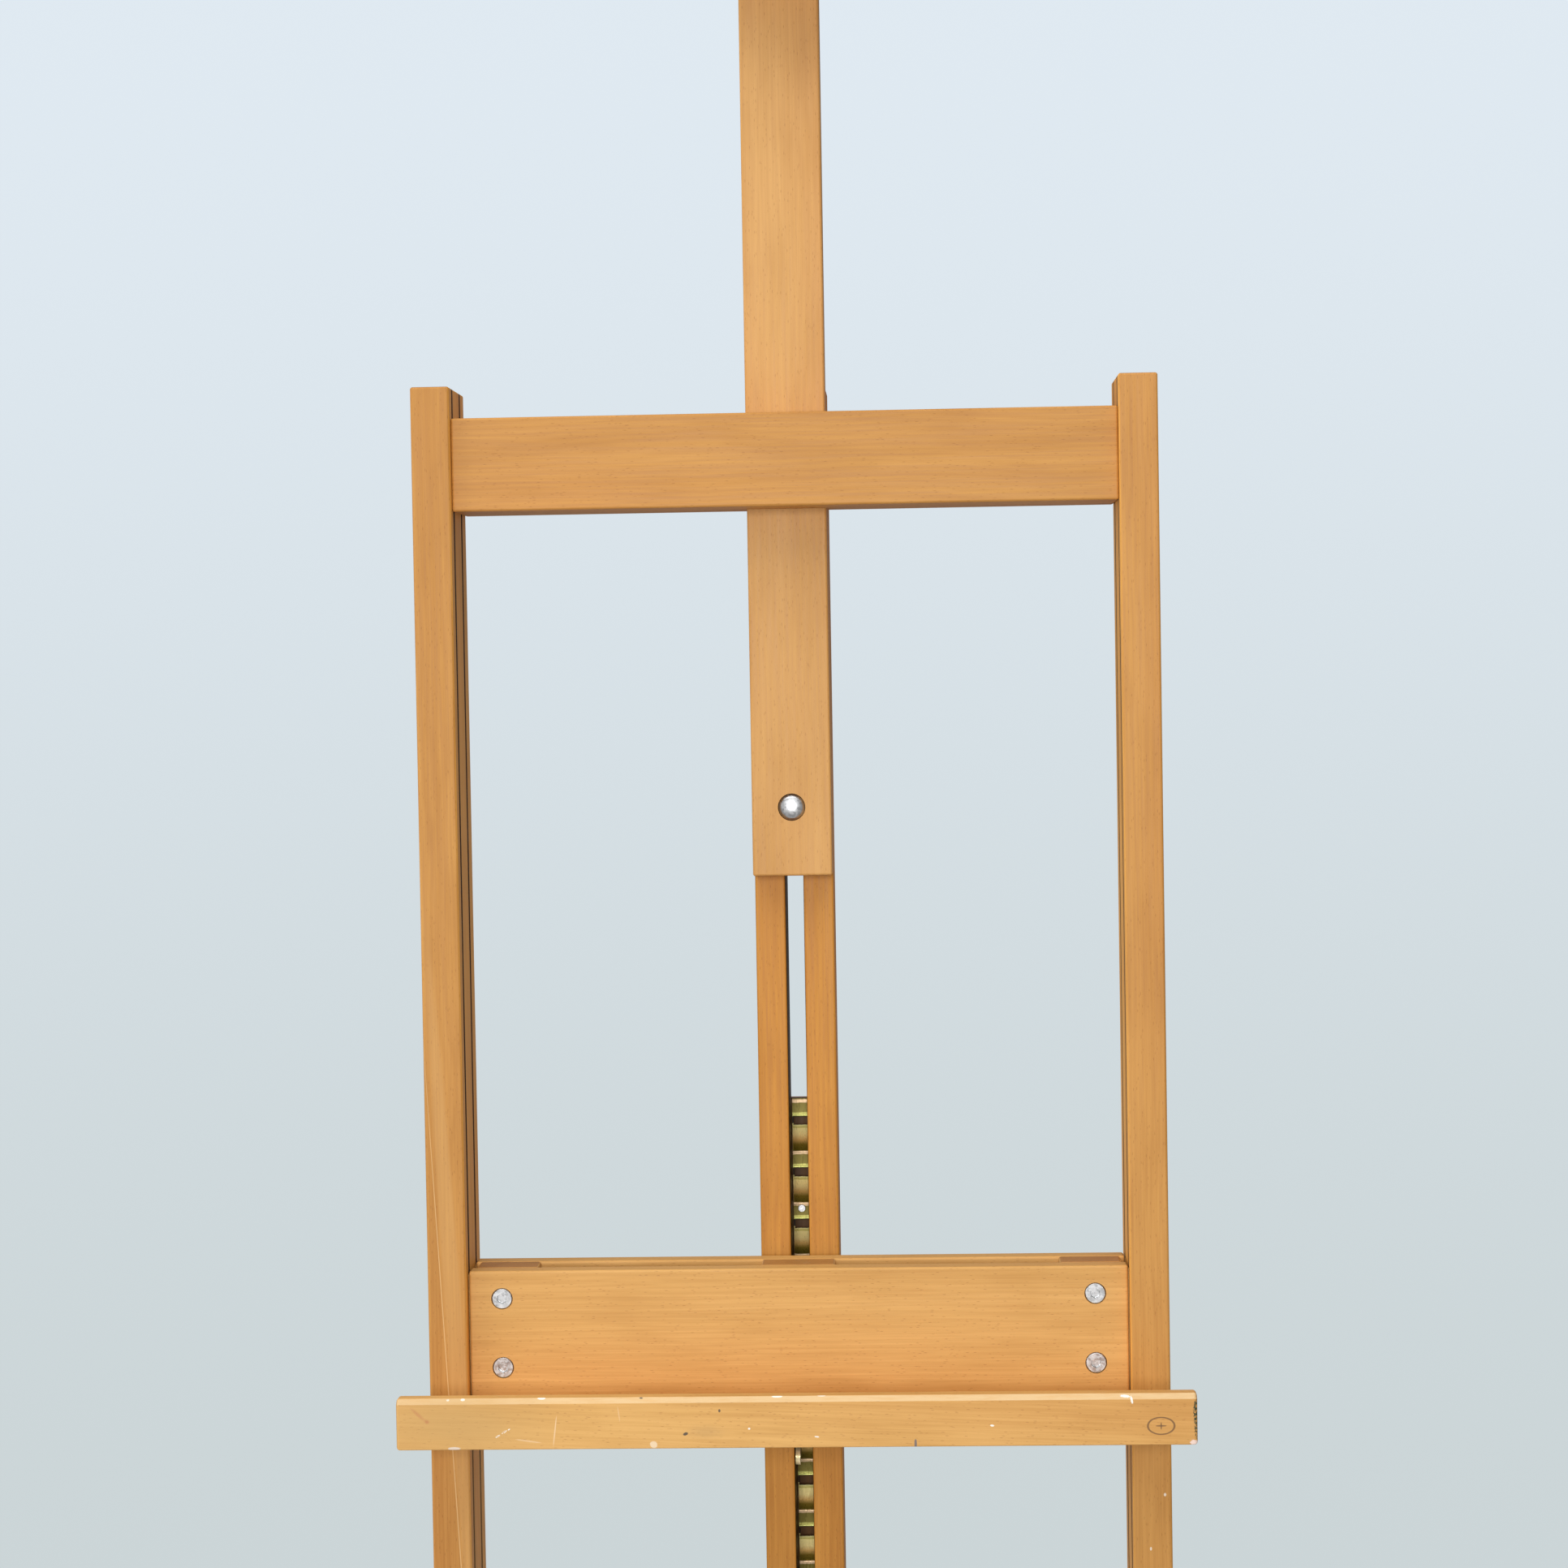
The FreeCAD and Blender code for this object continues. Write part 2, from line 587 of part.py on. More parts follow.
def carriage_bar(centre, fixings):
    """Wide bar between the uprights, with a tongue at each end that runs in a groove."""
    half = UPRIGHT_INNER_X - 0.8
    y = (centre - CARRIAGE_BAR_THICK / 2, centre + CARRIAGE_BAR_THICK / 2)
    bar = board((-half, half), y, CARRIAGE_Z)
    tongue_y = (centre - TONGUE_THICK / 2, centre + TONGUE_THICK / 2)
    reach = UPRIGHT_INNER_X + GROOVE_DEPTH - 0.7
    tongue = box((half - 6, reach), tongue_y, (CARRIAGE_Z[0] + 3, CARRIAGE_Z[1] - 3))
    return cut_by(joined([bar] + both_sides([tongue])), fixings)


def front_carriage_bar():
    """Bar that the tray floor is screwed to."""
    return carriage_bar(GROOVE_CENTRES[0], carriage_bolts() + floor_screws())


def rear_carriage_bar():
    """Bar that carries the catch."""
    return carriage_bar(GROOVE_CENTRES[1], carriage_bolts() + catch_screws())


def carriage_blocks():
    """Blocks between the two bars."""
    y = (GROOVE_CENTRES[0] + CARRIAGE_BAR_THICK / 2, GROOVE_CENTRES[1] - CARRIAGE_BAR_THICK / 2)
    x = (CARRIAGE_BOLT_X - 22, CARRIAGE_BOLT_X + 18)
    blocks = both_sides([cut_by(board(x, y, CARRIAGE_Z), carriage_bolts())])
    return blocks + [board((-24.0, 24.0), y, CARRIAGE_Z)]


def catch_screws():
    """Screws that hold the catch bracket to the rear bar."""
    start = GROOVE_CENTRES[1] + CARRIAGE_BAR_THICK / 2 + BRACKET_THICK
    places = [(x, z) for x in (-9.0, 9.0) for z in (TRAY_Z + 1, TRAY_Z + 33)]
    return [headed((x, start, z), (x, start - 14, z), *BRACKET_SCREW) for x, z in places]


def catch_pin():
    """Pin that the catch turns on."""
    return rod((CATCH_X[0] - 0.1, *CATCH_PIN), (4.6, *CATCH_PIN), CATCH_PIN_RADIUS)


def catch_bracket():
    """Plate on the rear bar with an ear that reaches into the slot."""
    back = GROOVE_CENTRES[1] + CARRIAGE_BAR_THICK / 2
    plate = board((-15.0, 15.0), (back, back + BRACKET_THICK), (TRAY_Z - 8, TRAY_Z + 42), FINE_ARRIS)
    arm_z = CATCH_PIN[1]
    ear = stadium((back + 9, arm_z), (CATCH_PIN[0] - 5, arm_z), 8.0, (0.5, 4.6))
    return cut_by(joined([plate, ear]), catch_screws() + [catch_pin()])


def catch_spring():
    """Torsion spring round the pin, drawn as the sleeve that its coils fill."""
    ends = [(x, *CATCH_PIN) for x in SPRING_X]
    return rod(*ends, SPRING_RADIUS).cut(rod(*ends, CATCH_PIN_RADIUS + 0.2))


def catch_lever():
    """Catch that hangs in the slot: a nose in the rack and a round finger end."""
    x = CATCH_X
    elbow = (98.0, CATCH_NOSE_Z - 2)
    upper = stadium(CATCH_PIN, elbow, 4.4, x)
    lower = stadium(elbow, CATCH_FINGER, 5.4, x)
    nose_z = (CATCH_NOSE_Z - CATCH_NOSE_THICK / 2, CATCH_NOSE_Z + CATCH_NOSE_THICK / 2)
    nose = box((x[0], 3.6), (96.0, RACK_FRONT - 1.5), nose_z)
    hole = rod((x[0] - 1, *CATCH_PIN), (x[1] + 1, *CATCH_PIN), CATCH_PIN_RADIUS + RUNNING)
    return joined([upper, lower, nose]).cut(hole)


# Mast ----------------------------------------------------------------------------------------

def mast_clamp_bolt():
    """Bolt through the mast and the slot to the clamp knob."""
    return headed((0, MAST_FRONT, MAST_CLAMP_Z), (0, RAIL_BACK + 28, MAST_CLAMP_Z), *MAST_BOLT)


def guide_dowels():
    """Dowels that hold the guide block to the mast."""
    z_places = (MAST_Z[0] + 9, MAST_Z[0] + 24)
    return [rod((0, MAST_BACK - 12, z), (0, MAST_BACK + 18, z), M6) for z in z_places]


def mast():
    """Single board that slides up and down in front of the rails."""
    half = MAST_WIDTH / 2
    post = board((-half, half), (MAST_FRONT, MAST_BACK), MAST_Z)
    return cut_by(post, [mast_clamp_bolt()] + guide_dowels())


def mast_guide():
    """Block on the foot of the mast that runs in the slot."""
    half = SLOT_WIDTH / 2 - 0.4
    z = (MAST_Z[0] + 2, MAST_Z[0] + 31)
    block = board((-half, half), (MAST_BACK, RAIL_FRONT + 28), z, FINE_ARRIS)
    return cut_by(block, guide_dowels())


def mast_clamp_plate():
    """Plate that the knob draws against the backs of the rails."""
    half_width, half_height = CLAMP_PLATE_HALF
    z = (MAST_CLAMP_Z - half_height, MAST_CLAMP_Z + half_height)
    return board((-half_width, half_width), CLAMP_PLATE_Y, z).cut(mast_clamp_bolt())


def mast_washer():
    """Washer between the clamp plate and the knob."""
    return washer((0, CLAMP_PLATE_Y[1], MAST_CLAMP_Z), (0, 1, 0), M8)


def mast_knob():
    """Hand knob of the mast clamp."""
    start = CLAMP_PLATE_Y[1] + WASHER_THICK + GAP
    return lobed_knob((0, start, MAST_CLAMP_Z), (0, 1, 0), M8 + RUNNING, KNOB_BORE_DEPTH)


# Canvas holder -------------------------------------------------------------------------------

def holder_screws():
    """Screws from behind that join the holder's head, cheeks and back plate."""
    x = HOLDER_HALF_WIDTH - 10
    z_places = (HOLDER_Z[0] + 20, HOLDER_Z[1] - 20)
    start, end = HOLDER_BACK_Y[1], HOLDER_JAW_Y[0] - 24
    return both_sides([headed((x, start, z), (x, end, z), *WOOD_SCREW) for z in z_places])


def holder_head():
    """Block over the canvas, with a lip that hooks down in front of it."""
    front, back = HOLDER_FRONT, HOLDER_JAW_Y[0]
    low, high = HOLDER_Z
    roof = low + HOLDER_REBATE
    points = [(front, low), (front + HOLDER_LIP, low), (front + HOLDER_LIP, roof), (3.0, roof),
              (3.0, low), (back, low), (back, high), (back - 26, high), (front, low + 36)]
    head = prism(points, (-HOLDER_HALF_WIDTH, HOLDER_HALF_WIDTH))
    head = head.makeFillet(ARRIS, head.Edges)
    return cut_by(head, holder_screws())


def holder_cheeks():
    """Blocks on either side of the mast."""
    x = (MAST_WIDTH / 2 + GAP, HOLDER_HALF_WIDTH)
    return both_sides([cut_by(board(x, HOLDER_JAW_Y, HOLDER_Z), holder_screws())])


def holder_back_plate():
    """Plate behind the mast, bored for the clamp nut."""
    low, high = HOLDER_BACK_Y
    plate = board((-HOLDER_HALF_WIDTH, HOLDER_HALF_WIDTH), HOLDER_BACK_Y, HOLDER_Z)
    nut_seat = rod((0, low - 1, HOLDER_SCREW_Z), (0, high + 1, HOLDER_SCREW_Z), HOLDER_NUT_RADIUS)
    return cut_by(plate, [nut_seat] + holder_screws())


def holder_nut():
    """Threaded insert for the clamp screw."""
    ends = [(0, y, HOLDER_SCREW_Z) for y in (HOLDER_BACK_Y[0] + 2, HOLDER_BACK_Y[1])]
    return rod(*ends, HOLDER_NUT_RADIUS).cut(rod(*ends, M8 + RUNNING))


def holder_clamp_screw():
    """Stud of the holder knob, which presses on the mast."""
    ends = [(0, y, HOLDER_SCREW_Z) for y in (HOLDER_BACK_Y[0], HOLDER_BACK_Y[1] + 18)]
    return rod(*ends, M8)


def holder_knob():
    """Hand knob of the canvas holder, moulded on its stud."""
    return lobed_knob((0, HOLDER_BACK_Y[1] + 1, HOLDER_SCREW_Z), (0, 1, 0), M8, 17.0)


# Struts --------------------------------------------------------------------------------------

def strut(side):
    """Back strut, hinged on the runner and slotted at its head for the knob bolt."""
    bolt_y = HINGE_Y + STRUT_BOLT_Z * math.sin(math.radians(LEAN))
    bolt_z = HINGE_Z + STRUT_BOLT_Z * math.cos(math.radians(LEAN))
    foot = V(0, STRUT_FOOT_Y, HINGE_Z)
    along = (V(0, bolt_y, bolt_z) - foot).normalize()

    def point(distance):
        place = foot + along * distance
        return (place.y, place.z)

    bar = stadium(point(0), point(STRUT_REACH[1]), STRUT_WIDTH / 2, STRUT_X)
    rims = [edge for edge in bar.Edges if edge.BoundBox.XLength < 1]
    bar = bar.makeFillet(ARRIS, rims)
    through = (STRUT_X[0] - 1, STRUT_X[1] + 1)
    slot = stadium(point(STRUT_REACH[0]), point(STRUT_REACH[1]), STRUT_SLOT_WIDTH / 2, through)
    hole = rod((through[0], *point(0)), (through[1], *point(0)), M10 + RUNNING)
    return on_side(cut_by(bar, [slot, hole]), side)


def strut_knob(side):
    """Hand knob that clamps one strut to its upright."""
    start = (STRUT_X[1] + GAP + WASHER_THICK + GAP, HINGE_DEPTH, STRUT_BOLT_Z)
    return on_side(lobed_knob(start, (1, 0, 0), M8 + RUNNING, KNOB_BORE_DEPTH), side)


# Output --------------------------------------------------------------------------------------

def base_nodes():
    """Nodes drawn in the easel's own coordinates."""
    return {
        "left_runner": runner("left"),
        "right_runner": runner("right"),
        "front_cross_member": cross_member(FRONT_MEMBER_Y),
        "rear_cross_member": cross_member(REAR_MEMBER_Y),
        "cross_member_bolts": group(cross_member_bolts()),
        "rubber_feet": group(rubber_feet()),
        "foot_screws": group(foot_screws()),
        "hinge_bolts": group(hinge_bolts()),
        "hinge_spacers": group(hinge_spacers()),
        "strut_foot_bolts": group(strut_foot_bolts()),
        "pivot_nuts": group(pivot_nuts()),
        "left_strut": strut("left"),
        "right_strut": strut("right"),
    }


def frame_nodes():
    """Nodes drawn in frame coordinates."""
    return {
        "left_upright": upright("left"),
        "right_upright": upright("right"),
        "lower_crossbar": lower_crossbar(),
        "upper_crossbar": upper_crossbar(),
        "crossbar_bolts": group(crossbar_bolts()),
        "left_rail": cut_by(rail("left"), batten_screws()),
        "right_rail": cut_by(rail("right"), batten_screws()),
        "rail_screws": group(rail_screws()),
        "slot_spacers": group(slot_spacers()),
        "head_blocks": group(head_blocks()),
        "head_plate": head_plate(),
        "head_bolts": group(head_bolts()),
        "rack_strip": rack_strip(),
        "rack_screws": group(rack_screws()),
        "rack_batten": cut_by(rack_batten(), batten_screws()),
        "batten_screws": group(batten_screws()),
        "strut_bolts": group(strut_bolts()),
        "strut_washers": group(strut_washers()),
        "left_strut_knob": strut_knob("left"),
        "right_strut_knob": strut_knob("right"),
        "tray_lip": tray_lip(),
        "tray_floor": tray_floor(),
        "lip_dowels": group(lip_dowels()),
        "floor_screws": group(floor_screws()),
        "front_carriage_bar": front_carriage_bar(),
        "rear_carriage_bar": rear_carriage_bar(),
        "carriage_blocks": group(carriage_blocks()),
        "carriage_bolts": group(carriage_bolts()),
        "catch_bracket": catch_bracket(),
        "catch_screws": group(catch_screws()),
        "catch_pin": catch_pin(),
        "catch_spring": catch_spring(),
        "catch_lever": catch_lever(),
        "mast": mast(),
        "mast_guide": mast_guide(),
        "guide_dowels": group(guide_dowels()),
        "mast_clamp_bolt": mast_clamp_bolt(),
        "mast_clamp_plate": mast_clamp_plate(),
        "mast_washer": mast_washer(),
        "mast_knob": mast_knob(),
        "holder_head": holder_head(),
        "holder_cheeks": group(holder_cheeks()),
        "holder_back_plate": holder_back_plate(),
        "holder_screws": group(holder_screws()),
        "holder_nut": holder_nut(),
        "holder_clamp_screw": holder_clamp_screw(),
        "holder_knob": holder_knob(),
    }


def main():
    os.makedirs("parts", exist_ok=True)
    nodes = base_nodes()
    nodes.update({name: place_on_frame(shape) for name, shape in frame_nodes().items()})
    for name, shape in nodes.items():
        if not shape.isValid():
            raise ValueError("not a valid shape: " + name)
        shape.exportStep("parts/" + name + ".step")
        print(name, len(shape.Solids))


main()
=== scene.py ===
"""Finishes of the H-frame studio easel: oiled beech boards, brass rack, zinc fixings, moulded knobs.

The boards, rails, brackets and feet are the frame's own nodes with better materials. Fixings, knobs and the
catch spring are modelled again here and stand for their nodes.
"""
import json
import math

import bmesh
import bpy
from bpy.props import FloatProperty, FloatVectorProperty, IntProperty, PointerProperty
from mathutils import Matrix, Vector


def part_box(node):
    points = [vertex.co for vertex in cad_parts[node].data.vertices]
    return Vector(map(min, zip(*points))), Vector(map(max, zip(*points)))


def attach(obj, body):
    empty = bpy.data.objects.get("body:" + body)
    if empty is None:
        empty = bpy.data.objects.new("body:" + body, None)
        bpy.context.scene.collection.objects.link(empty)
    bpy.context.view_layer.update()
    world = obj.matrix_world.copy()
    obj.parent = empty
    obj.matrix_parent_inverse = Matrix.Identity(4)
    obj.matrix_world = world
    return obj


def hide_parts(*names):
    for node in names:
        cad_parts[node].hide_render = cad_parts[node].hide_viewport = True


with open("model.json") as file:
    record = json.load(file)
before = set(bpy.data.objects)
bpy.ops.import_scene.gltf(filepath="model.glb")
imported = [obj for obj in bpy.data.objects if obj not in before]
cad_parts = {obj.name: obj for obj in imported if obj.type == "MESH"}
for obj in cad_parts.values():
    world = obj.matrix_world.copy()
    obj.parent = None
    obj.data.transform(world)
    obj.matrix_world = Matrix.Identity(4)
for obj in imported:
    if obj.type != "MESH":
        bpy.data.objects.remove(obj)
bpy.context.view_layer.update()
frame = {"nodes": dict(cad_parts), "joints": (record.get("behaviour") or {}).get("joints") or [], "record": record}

bl_info = {
    "name": "H-frame easel finishes",
    "version": (1, 0, 0),
    "blender": (4, 5, 0),
    "location": "View3D > Sidebar > Easel",
    "description": "Materials, fixings and stage for the H-frame studio easel",
    "category": "Object",
}

JOINTS = {joint["name"]: joint for joint in frame["joints"]}
BODY_OF = {node: body for body, nodes in frame["record"]["behaviour"]["bodies"].items() for node in nodes}

# The leaning frame's own directions: across, back and up, measured from the hinge axis
ACROSS = Vector((1, 0, 0))
UP = Vector(JOINTS["tray_slide"]["axis"]).normalized()
BACK = Vector((0, UP.z, -UP.y))
HINGE = Vector(JOINTS["frame_tilt"]["pos_m"])
LEAN = math.atan2(UP.y, UP.z)
TO_FRAME = Matrix.Rotation(LEAN, 3, "X")
STRUT_FOOT = Vector(JOINTS["right_strut_swing"]["pos_m"])
STRUT_HEAD = Vector(JOINTS["right_strut_knob_turn"]["pos_m"])
STRUT_LEAN = math.atan2(STRUT_FOOT.y - STRUT_HEAD.y, STRUT_HEAD.z - STRUT_FOOT.z)
QUARTER = math.pi / 2
MM = 0.001

# Places on the leaning frame, measured from the hinge axis: the grooves in the uprights' inner faces, how
# far from the middle their shade reaches, the slot between the rails and where its shade ends in front
GROOVE_DEPTHS = (-20 * MM, 15 * MM)
GROOVE_HALF = 3.05 * MM
GROOVE_SHADE = (224 * MM, 230 * MM)
GROOVE_EDGE = 0.4 * MM
UPRIGHT_INNER = 214 * MM
SLOT_HALF = 6 * MM
SLOT_SIDES = (SLOT_HALF + 0.05 * MM, SLOT_HALF + 0.5 * MM)
SLOT_SHADE_DEPTHS = (82.5 * MM, 83.5 * MM)
RACK_PITCH = 35 * MM
RACK_TOOTH_TOP = 618.0 * MM
RACK_WOBBLE = 0.9 * MM

# Turns that bring a board's length onto the texture's Z axis; the lip's grain runs out a little
UPRIGHT_GRAIN = (LEAN, 0, 0)
ACROSS_GRAIN = (LEAN, -QUARTER, 0)
GRAIN_RUNOUT = 0.04
LIP_GRAIN = (LEAN, -QUARTER - GRAIN_RUNOUT, 0)
FLOOR_ACROSS_GRAIN = (0, -QUARTER, 0)
RUNNER_GRAIN = (QUARTER, 0, 0)
STRUT_GRAIN = (-STRUT_LEAN, 0, 0)


# Settings ------------------------------------------------------------------------------------

def colour(name, description, default):
    """Colour property."""
    return FloatVectorProperty(name=name, description=description, default=default,
                               size=3, min=0, max=1, subtype="COLOR")


class EaselWoodSettings(bpy.types.PropertyGroup):
    frame_light: colour("Frame light", "Early wood of the uprights and base", (0.60, 0.300, 0.075))
    frame_dark: colour("Frame dark", "Late wood of the uprights and base", (0.44, 0.190, 0.035))
    rail_light: colour("Rail light", "Early wood of the redder centre rails", (0.66, 0.315, 0.056))
    rail_dark: colour("Rail dark", "Late wood of the redder centre rails", (0.47, 0.190, 0.024))
    mast_light: colour("Mast light", "Early wood of the mast and holder", (0.66, 0.365, 0.120))
    mast_dark: colour("Mast dark", "Late wood of the mast and holder", (0.53, 0.260, 0.070))
    tray_light: colour("Tray light", "Early wood of the tray", (0.73, 0.420, 0.138))
    tray_dark: colour("Tray dark", "Late wood of the tray", (0.58, 0.305, 0.082))
    ring_spacing: FloatProperty(name="Ring spacing", description="Distance between growth rings",
                                default=0.0042, min=0.001, max=0.02, unit="LENGTH")
    fleck_contrast: FloatProperty(name="Fleck contrast", description="Darkness of the short beech flecks",
                                  default=0.42, min=0, max=1, subtype="FACTOR")


class EaselMetalSettings(bpy.types.PropertyGroup):
    brass: colour("Brass", "Yellow plating of the catch and the insert", (0.93, 0.78, 0.47))
    olive: colour("Olive", "Tarnished areas of the yellow plating", (0.42, 0.36, 0.14))
    zinc: colour("Zinc", "Bolts, washers and brackets", (0.62, 0.63, 0.64))
    plastic: colour("Plastic", "Hand knobs", (0.018, 0.018, 0.019))
    rubber: colour("Rubber", "Feet", (0.030, 0.030, 0.032))
    spring_turns: IntProperty(name="Spring turns", description="Coils of the catch spring",
                              default=4, min=2, max=8)


class EaselStageSettings(bpy.types.PropertyGroup):
    floor: colour("Floor", "Pale floor", (0.66, 0.69, 0.71))
    wall_high: colour("Backdrop high", "Backdrop above eye level", (0.745, 0.820, 0.885))
    wall_low: colour("Backdrop low", "Backdrop below eye level", (0.600, 0.665, 0.680))
    floor_radius: FloatProperty(name="Floor radius", description="Radius of the floor disc",
                                default=1.25, min=0.5, max=5, unit="LENGTH")
    ambient: FloatProperty(name="Ambient", description="Strength of the soft light from all round",
                           default=0.32, min=0, max=5)
    key_power: FloatProperty(name="Key light", description="Power of the softbox by the camera",
                             default=52.0, min=0, max=1000, unit="POWER")
    top_power: FloatProperty(name="Top light", description="Power of the wide softbox overhead",
                             default=66.0, min=0, max=1000, unit="POWER")
    side_power: FloatProperty(name="Side light", description="Power of the softbox at the left",
                              default=40.0, min=0, max=1000, unit="POWER")


def wood():
    return bpy.context.scene.easel_wood


def metal():
    return bpy.context.scene.easel_metal


def staging():
    return bpy.context.scene.easel_stage


# Shader helpers ------------------------------------------------------------------------------

def add(tree, kind, inputs=None, **settings):
    """New node with its settings; each input is given a value or linked to a socket."""
    made = tree.nodes.new("ShaderNode" + kind)
    for key, value in settings.items():
        setattr(made, key, value)
    for key, value in (inputs or {}).items():
        if isinstance(value, bpy.types.NodeSocket):
            tree.links.new(value, made.inputs[key])
        else:
            made.inputs[key].default_value = value
    return made


def blank_material(name, **values):
    """Material with one Principled shader whose plain inputs are set."""
    material = bpy.data.materials.new(name)
    material.use_nodes = True
    shader = material.node_tree.nodes["Principled BSDF"]
    for key, value in values.items():
        shader.inputs[key.replace("_", " ").title().replace("Ior", "IOR")].default_value = value
    return material, material.node_tree, shader


def maths(tree, operation, first, second=0.0):
    """Result of one Math node."""
    return add(tree, "Math", {0: first, 1: second}, operation=operation).outputs[0]


def product(tree, first, second):
    """First times second."""
    return maths(tree, "MULTIPLY", first, second)


def size_of(tree, value):
    """Value without its sign."""
    return maths(tree, "ABSOLUTE", value)


def axes(tree, vector):
    """Outputs X, Y and Z of a vector."""
    return add(tree, "SeparateXYZ", {0: vector}).outputs


def ranged(tree, value, low, high, to_low=0.0, to_high=1.0):
    """Value eased from the range low..high to the range to_low..to_high."""
    limits = {"Value": value, "From Min": low, "From Max": high, "To Min": to_low, "To Max": to_high}
    return add(tree, "MapRange", limits, interpolation_type="SMOOTHSTEP").outputs["Result"]


def blended(tree, factor, first, second, mode="MIX"):
    """Colour mixed from first to second by factor."""
    mix = add(tree, "Mix", data_type="RGBA", blend_type=mode)
    for socket, value in ((mix.inputs["Factor"], factor), (mix.inputs[6], first), (mix.inputs[7], second)):
        if isinstance(value, bpy.types.NodeSocket):
            tree.links.new(value, socket)
        elif hasattr(value, "__len__"):
            socket.default_value = (*value, 1.0)
        else:
            socket.default_value = value
    return mix.outputs[2]


def mapped(tree, vector, **settings):
    """Vector through a Mapping node."""
    inputs = {key.title(): value for key, value in settings.items()}
    return add(tree, "Mapping", {"Vector": vector, **inputs}).outputs["Vector"]


def noise(tree, vector, detail=3.0, roughness=0.5, scale=1.0):
    """Noise value on the given coordinates."""
    inputs = {"Vector": vector, "Scale": scale, "Detail": detail, "Roughness": roughness}
    return add(tree, "TexNoise", inputs).outputs["Fac"]


def bumped(tree, shader, height, strength, distance):
    """Bump on the shader from a height."""
    bump = add(tree, "Bump", {"Height": height, "Strength": strength, "Distance": distance})
    tree.links.new(bump.outputs["Normal"], shader.inputs["Normal"])


# Wood ----------------------------------------------------------------------------------------

def frame_coordinates(tree):
    """Coordinates across, back and up from the hinge, in metres, along the leaning frame."""
    here = add(tree, "TexCoord").outputs["Object"]
    return mapped(tree, here, rotation=(LEAN, 0, 0), location=-(TO_FRAME @ HINGE))


# Ragged edge of a mark, in speckles per half width, and the reach that leaves only a fine outline
SPECKLES_PER_MARK = 1.6
OUTLINE_REACH = 0.92


def mark_mask(tree, place, mark):
    """Mask of one mark on a leaning board: a ragged soft-edged ellipse, its outline, or bits of it.

    A mark has its middle and half sizes "at" (x, z, half x, half z) in mm, a "turn" in degrees, a "tint" and
    a "strength". "soft" and "ragged" shape its edge, "ring" leaves the outline and "broken" is the number of
    gaps per metre.
    """
    x, z, half_x, half_z = (value * MM for value in mark["at"])
    inputs = {"Vector": place, "Location": (x, 0, z), "Scale": (half_x, 1.0, half_z),
              "Rotation": (0, math.radians(mark.get("turn", 0)), 0)}
    local = add(tree, "Mapping", inputs, vector_type="TEXTURE").outputs["Vector"]
    flat = add(tree, "VectorMath", {0: local, 1: (1, 0, 1)}, operation="MULTIPLY").outputs["Vector"]
    reach = add(tree, "VectorMath", {0: flat}, operation="LENGTH").outputs["Value"]
    ragged = mark.get("ragged", 0.35)
    if ragged:
        speckle = noise(tree, place, scale=SPECKLES_PER_MARK / min(half_x, half_z))
        reach = maths(tree, "ADD", reach, product(tree, speckle, ragged))
    if mark.get("ring"):
        reach = maths(tree, "ADD", size_of(tree, maths(tree, "SUBTRACT", reach, 1.0)), OUTLINE_REACH)
    soft = mark.get("soft", 0.25)
    edge = 1.0 + ragged * 0.5
    mask = ranged(tree, reach, edge - soft, edge, mark.get("strength", 1.0), 0.0)
    if mark.get("broken"):
        bits = noise(tree, place, scale=mark["broken"])
        mask = product(tree, mask, ranged(tree, bits, 0.46, 0.54))
    return mask


def with_marks(tree, tint, marks, base_height):
    """Colour with scratches, specks and stains over it, on faces that look forward."""
    lowered = mapped(tree, frame_coordinates(tree), location=(0, 0, -base_height))
    facing = axes(tree, add(tree, "TexCoord").outputs["Normal"])
    front = ranged(tree, facing["Y"], -0.5, -0.1, 1.0, 0.0)
    for mark in marks:
        mask = product(tree, mark_mask(tree, lowered, mark), front)
        tint = blended(tree, mask, tint, mark["tint"])
    return tint


# Painted highlight on the top arris, and what the wood's colour is multiplied by for painted shade in the slot and
# in the grooves and for painted light on the uprights' inner faces
ARRIS_PAINTED_HIGHLIGHT = (0.70, 0.490, 0.250)
SLOT_SHADE = (0.20, 0.17, 0.06)
GROOVE_PAINTED_SHADE = (0.05, 0.028, 0.010)
INNER_FACE_PAINTED_LIGHT = (1.45, 1.55, 1.35)


def with_painted_arris_highlight(tree, tint):
    """Colour with a creamier, patchy painted highlight on the bevel between a board's front and its top."""
    facing = axes(tree, add(tree, "TexCoord").outputs["Normal"])
    upward = ranged(tree, facing["Z"], 0.25, 0.5)
    bevel = product(tree, upward, ranged(tree, facing["Y"], -0.6, -0.3, 1.0, 0.0))
    patchy = noise(tree, mapped(tree, frame_coordinates(tree), scale=(60, 400, 400)), detail=3.0)
    # Painted highlight on the arris, broken up in patches
    highlight = product(tree, bevel, ranged(tree, patchy, 0.2, 0.6, 0.5, 0.9))
    return blended(tree, highlight, tint, ARRIS_PAINTED_HIGHLIGHT)


def with_painted_slot_shade(tree, tint):
    """Colour with painted shade on the faces inside the slot between the centre rails."""
    place = axes(tree, frame_coordinates(tree))
    # Painted shade inside the slot
    inside = ranged(tree, size_of(tree, place["X"]), *SLOT_SIDES, 1.0, 0.0)
    ahead = ranged(tree, place["Y"], *SLOT_SHADE_DEPTHS, 1.0, 0.0)
    return blended(tree, product(tree, inside, ahead), tint, SLOT_SHADE, "MULTIPLY")


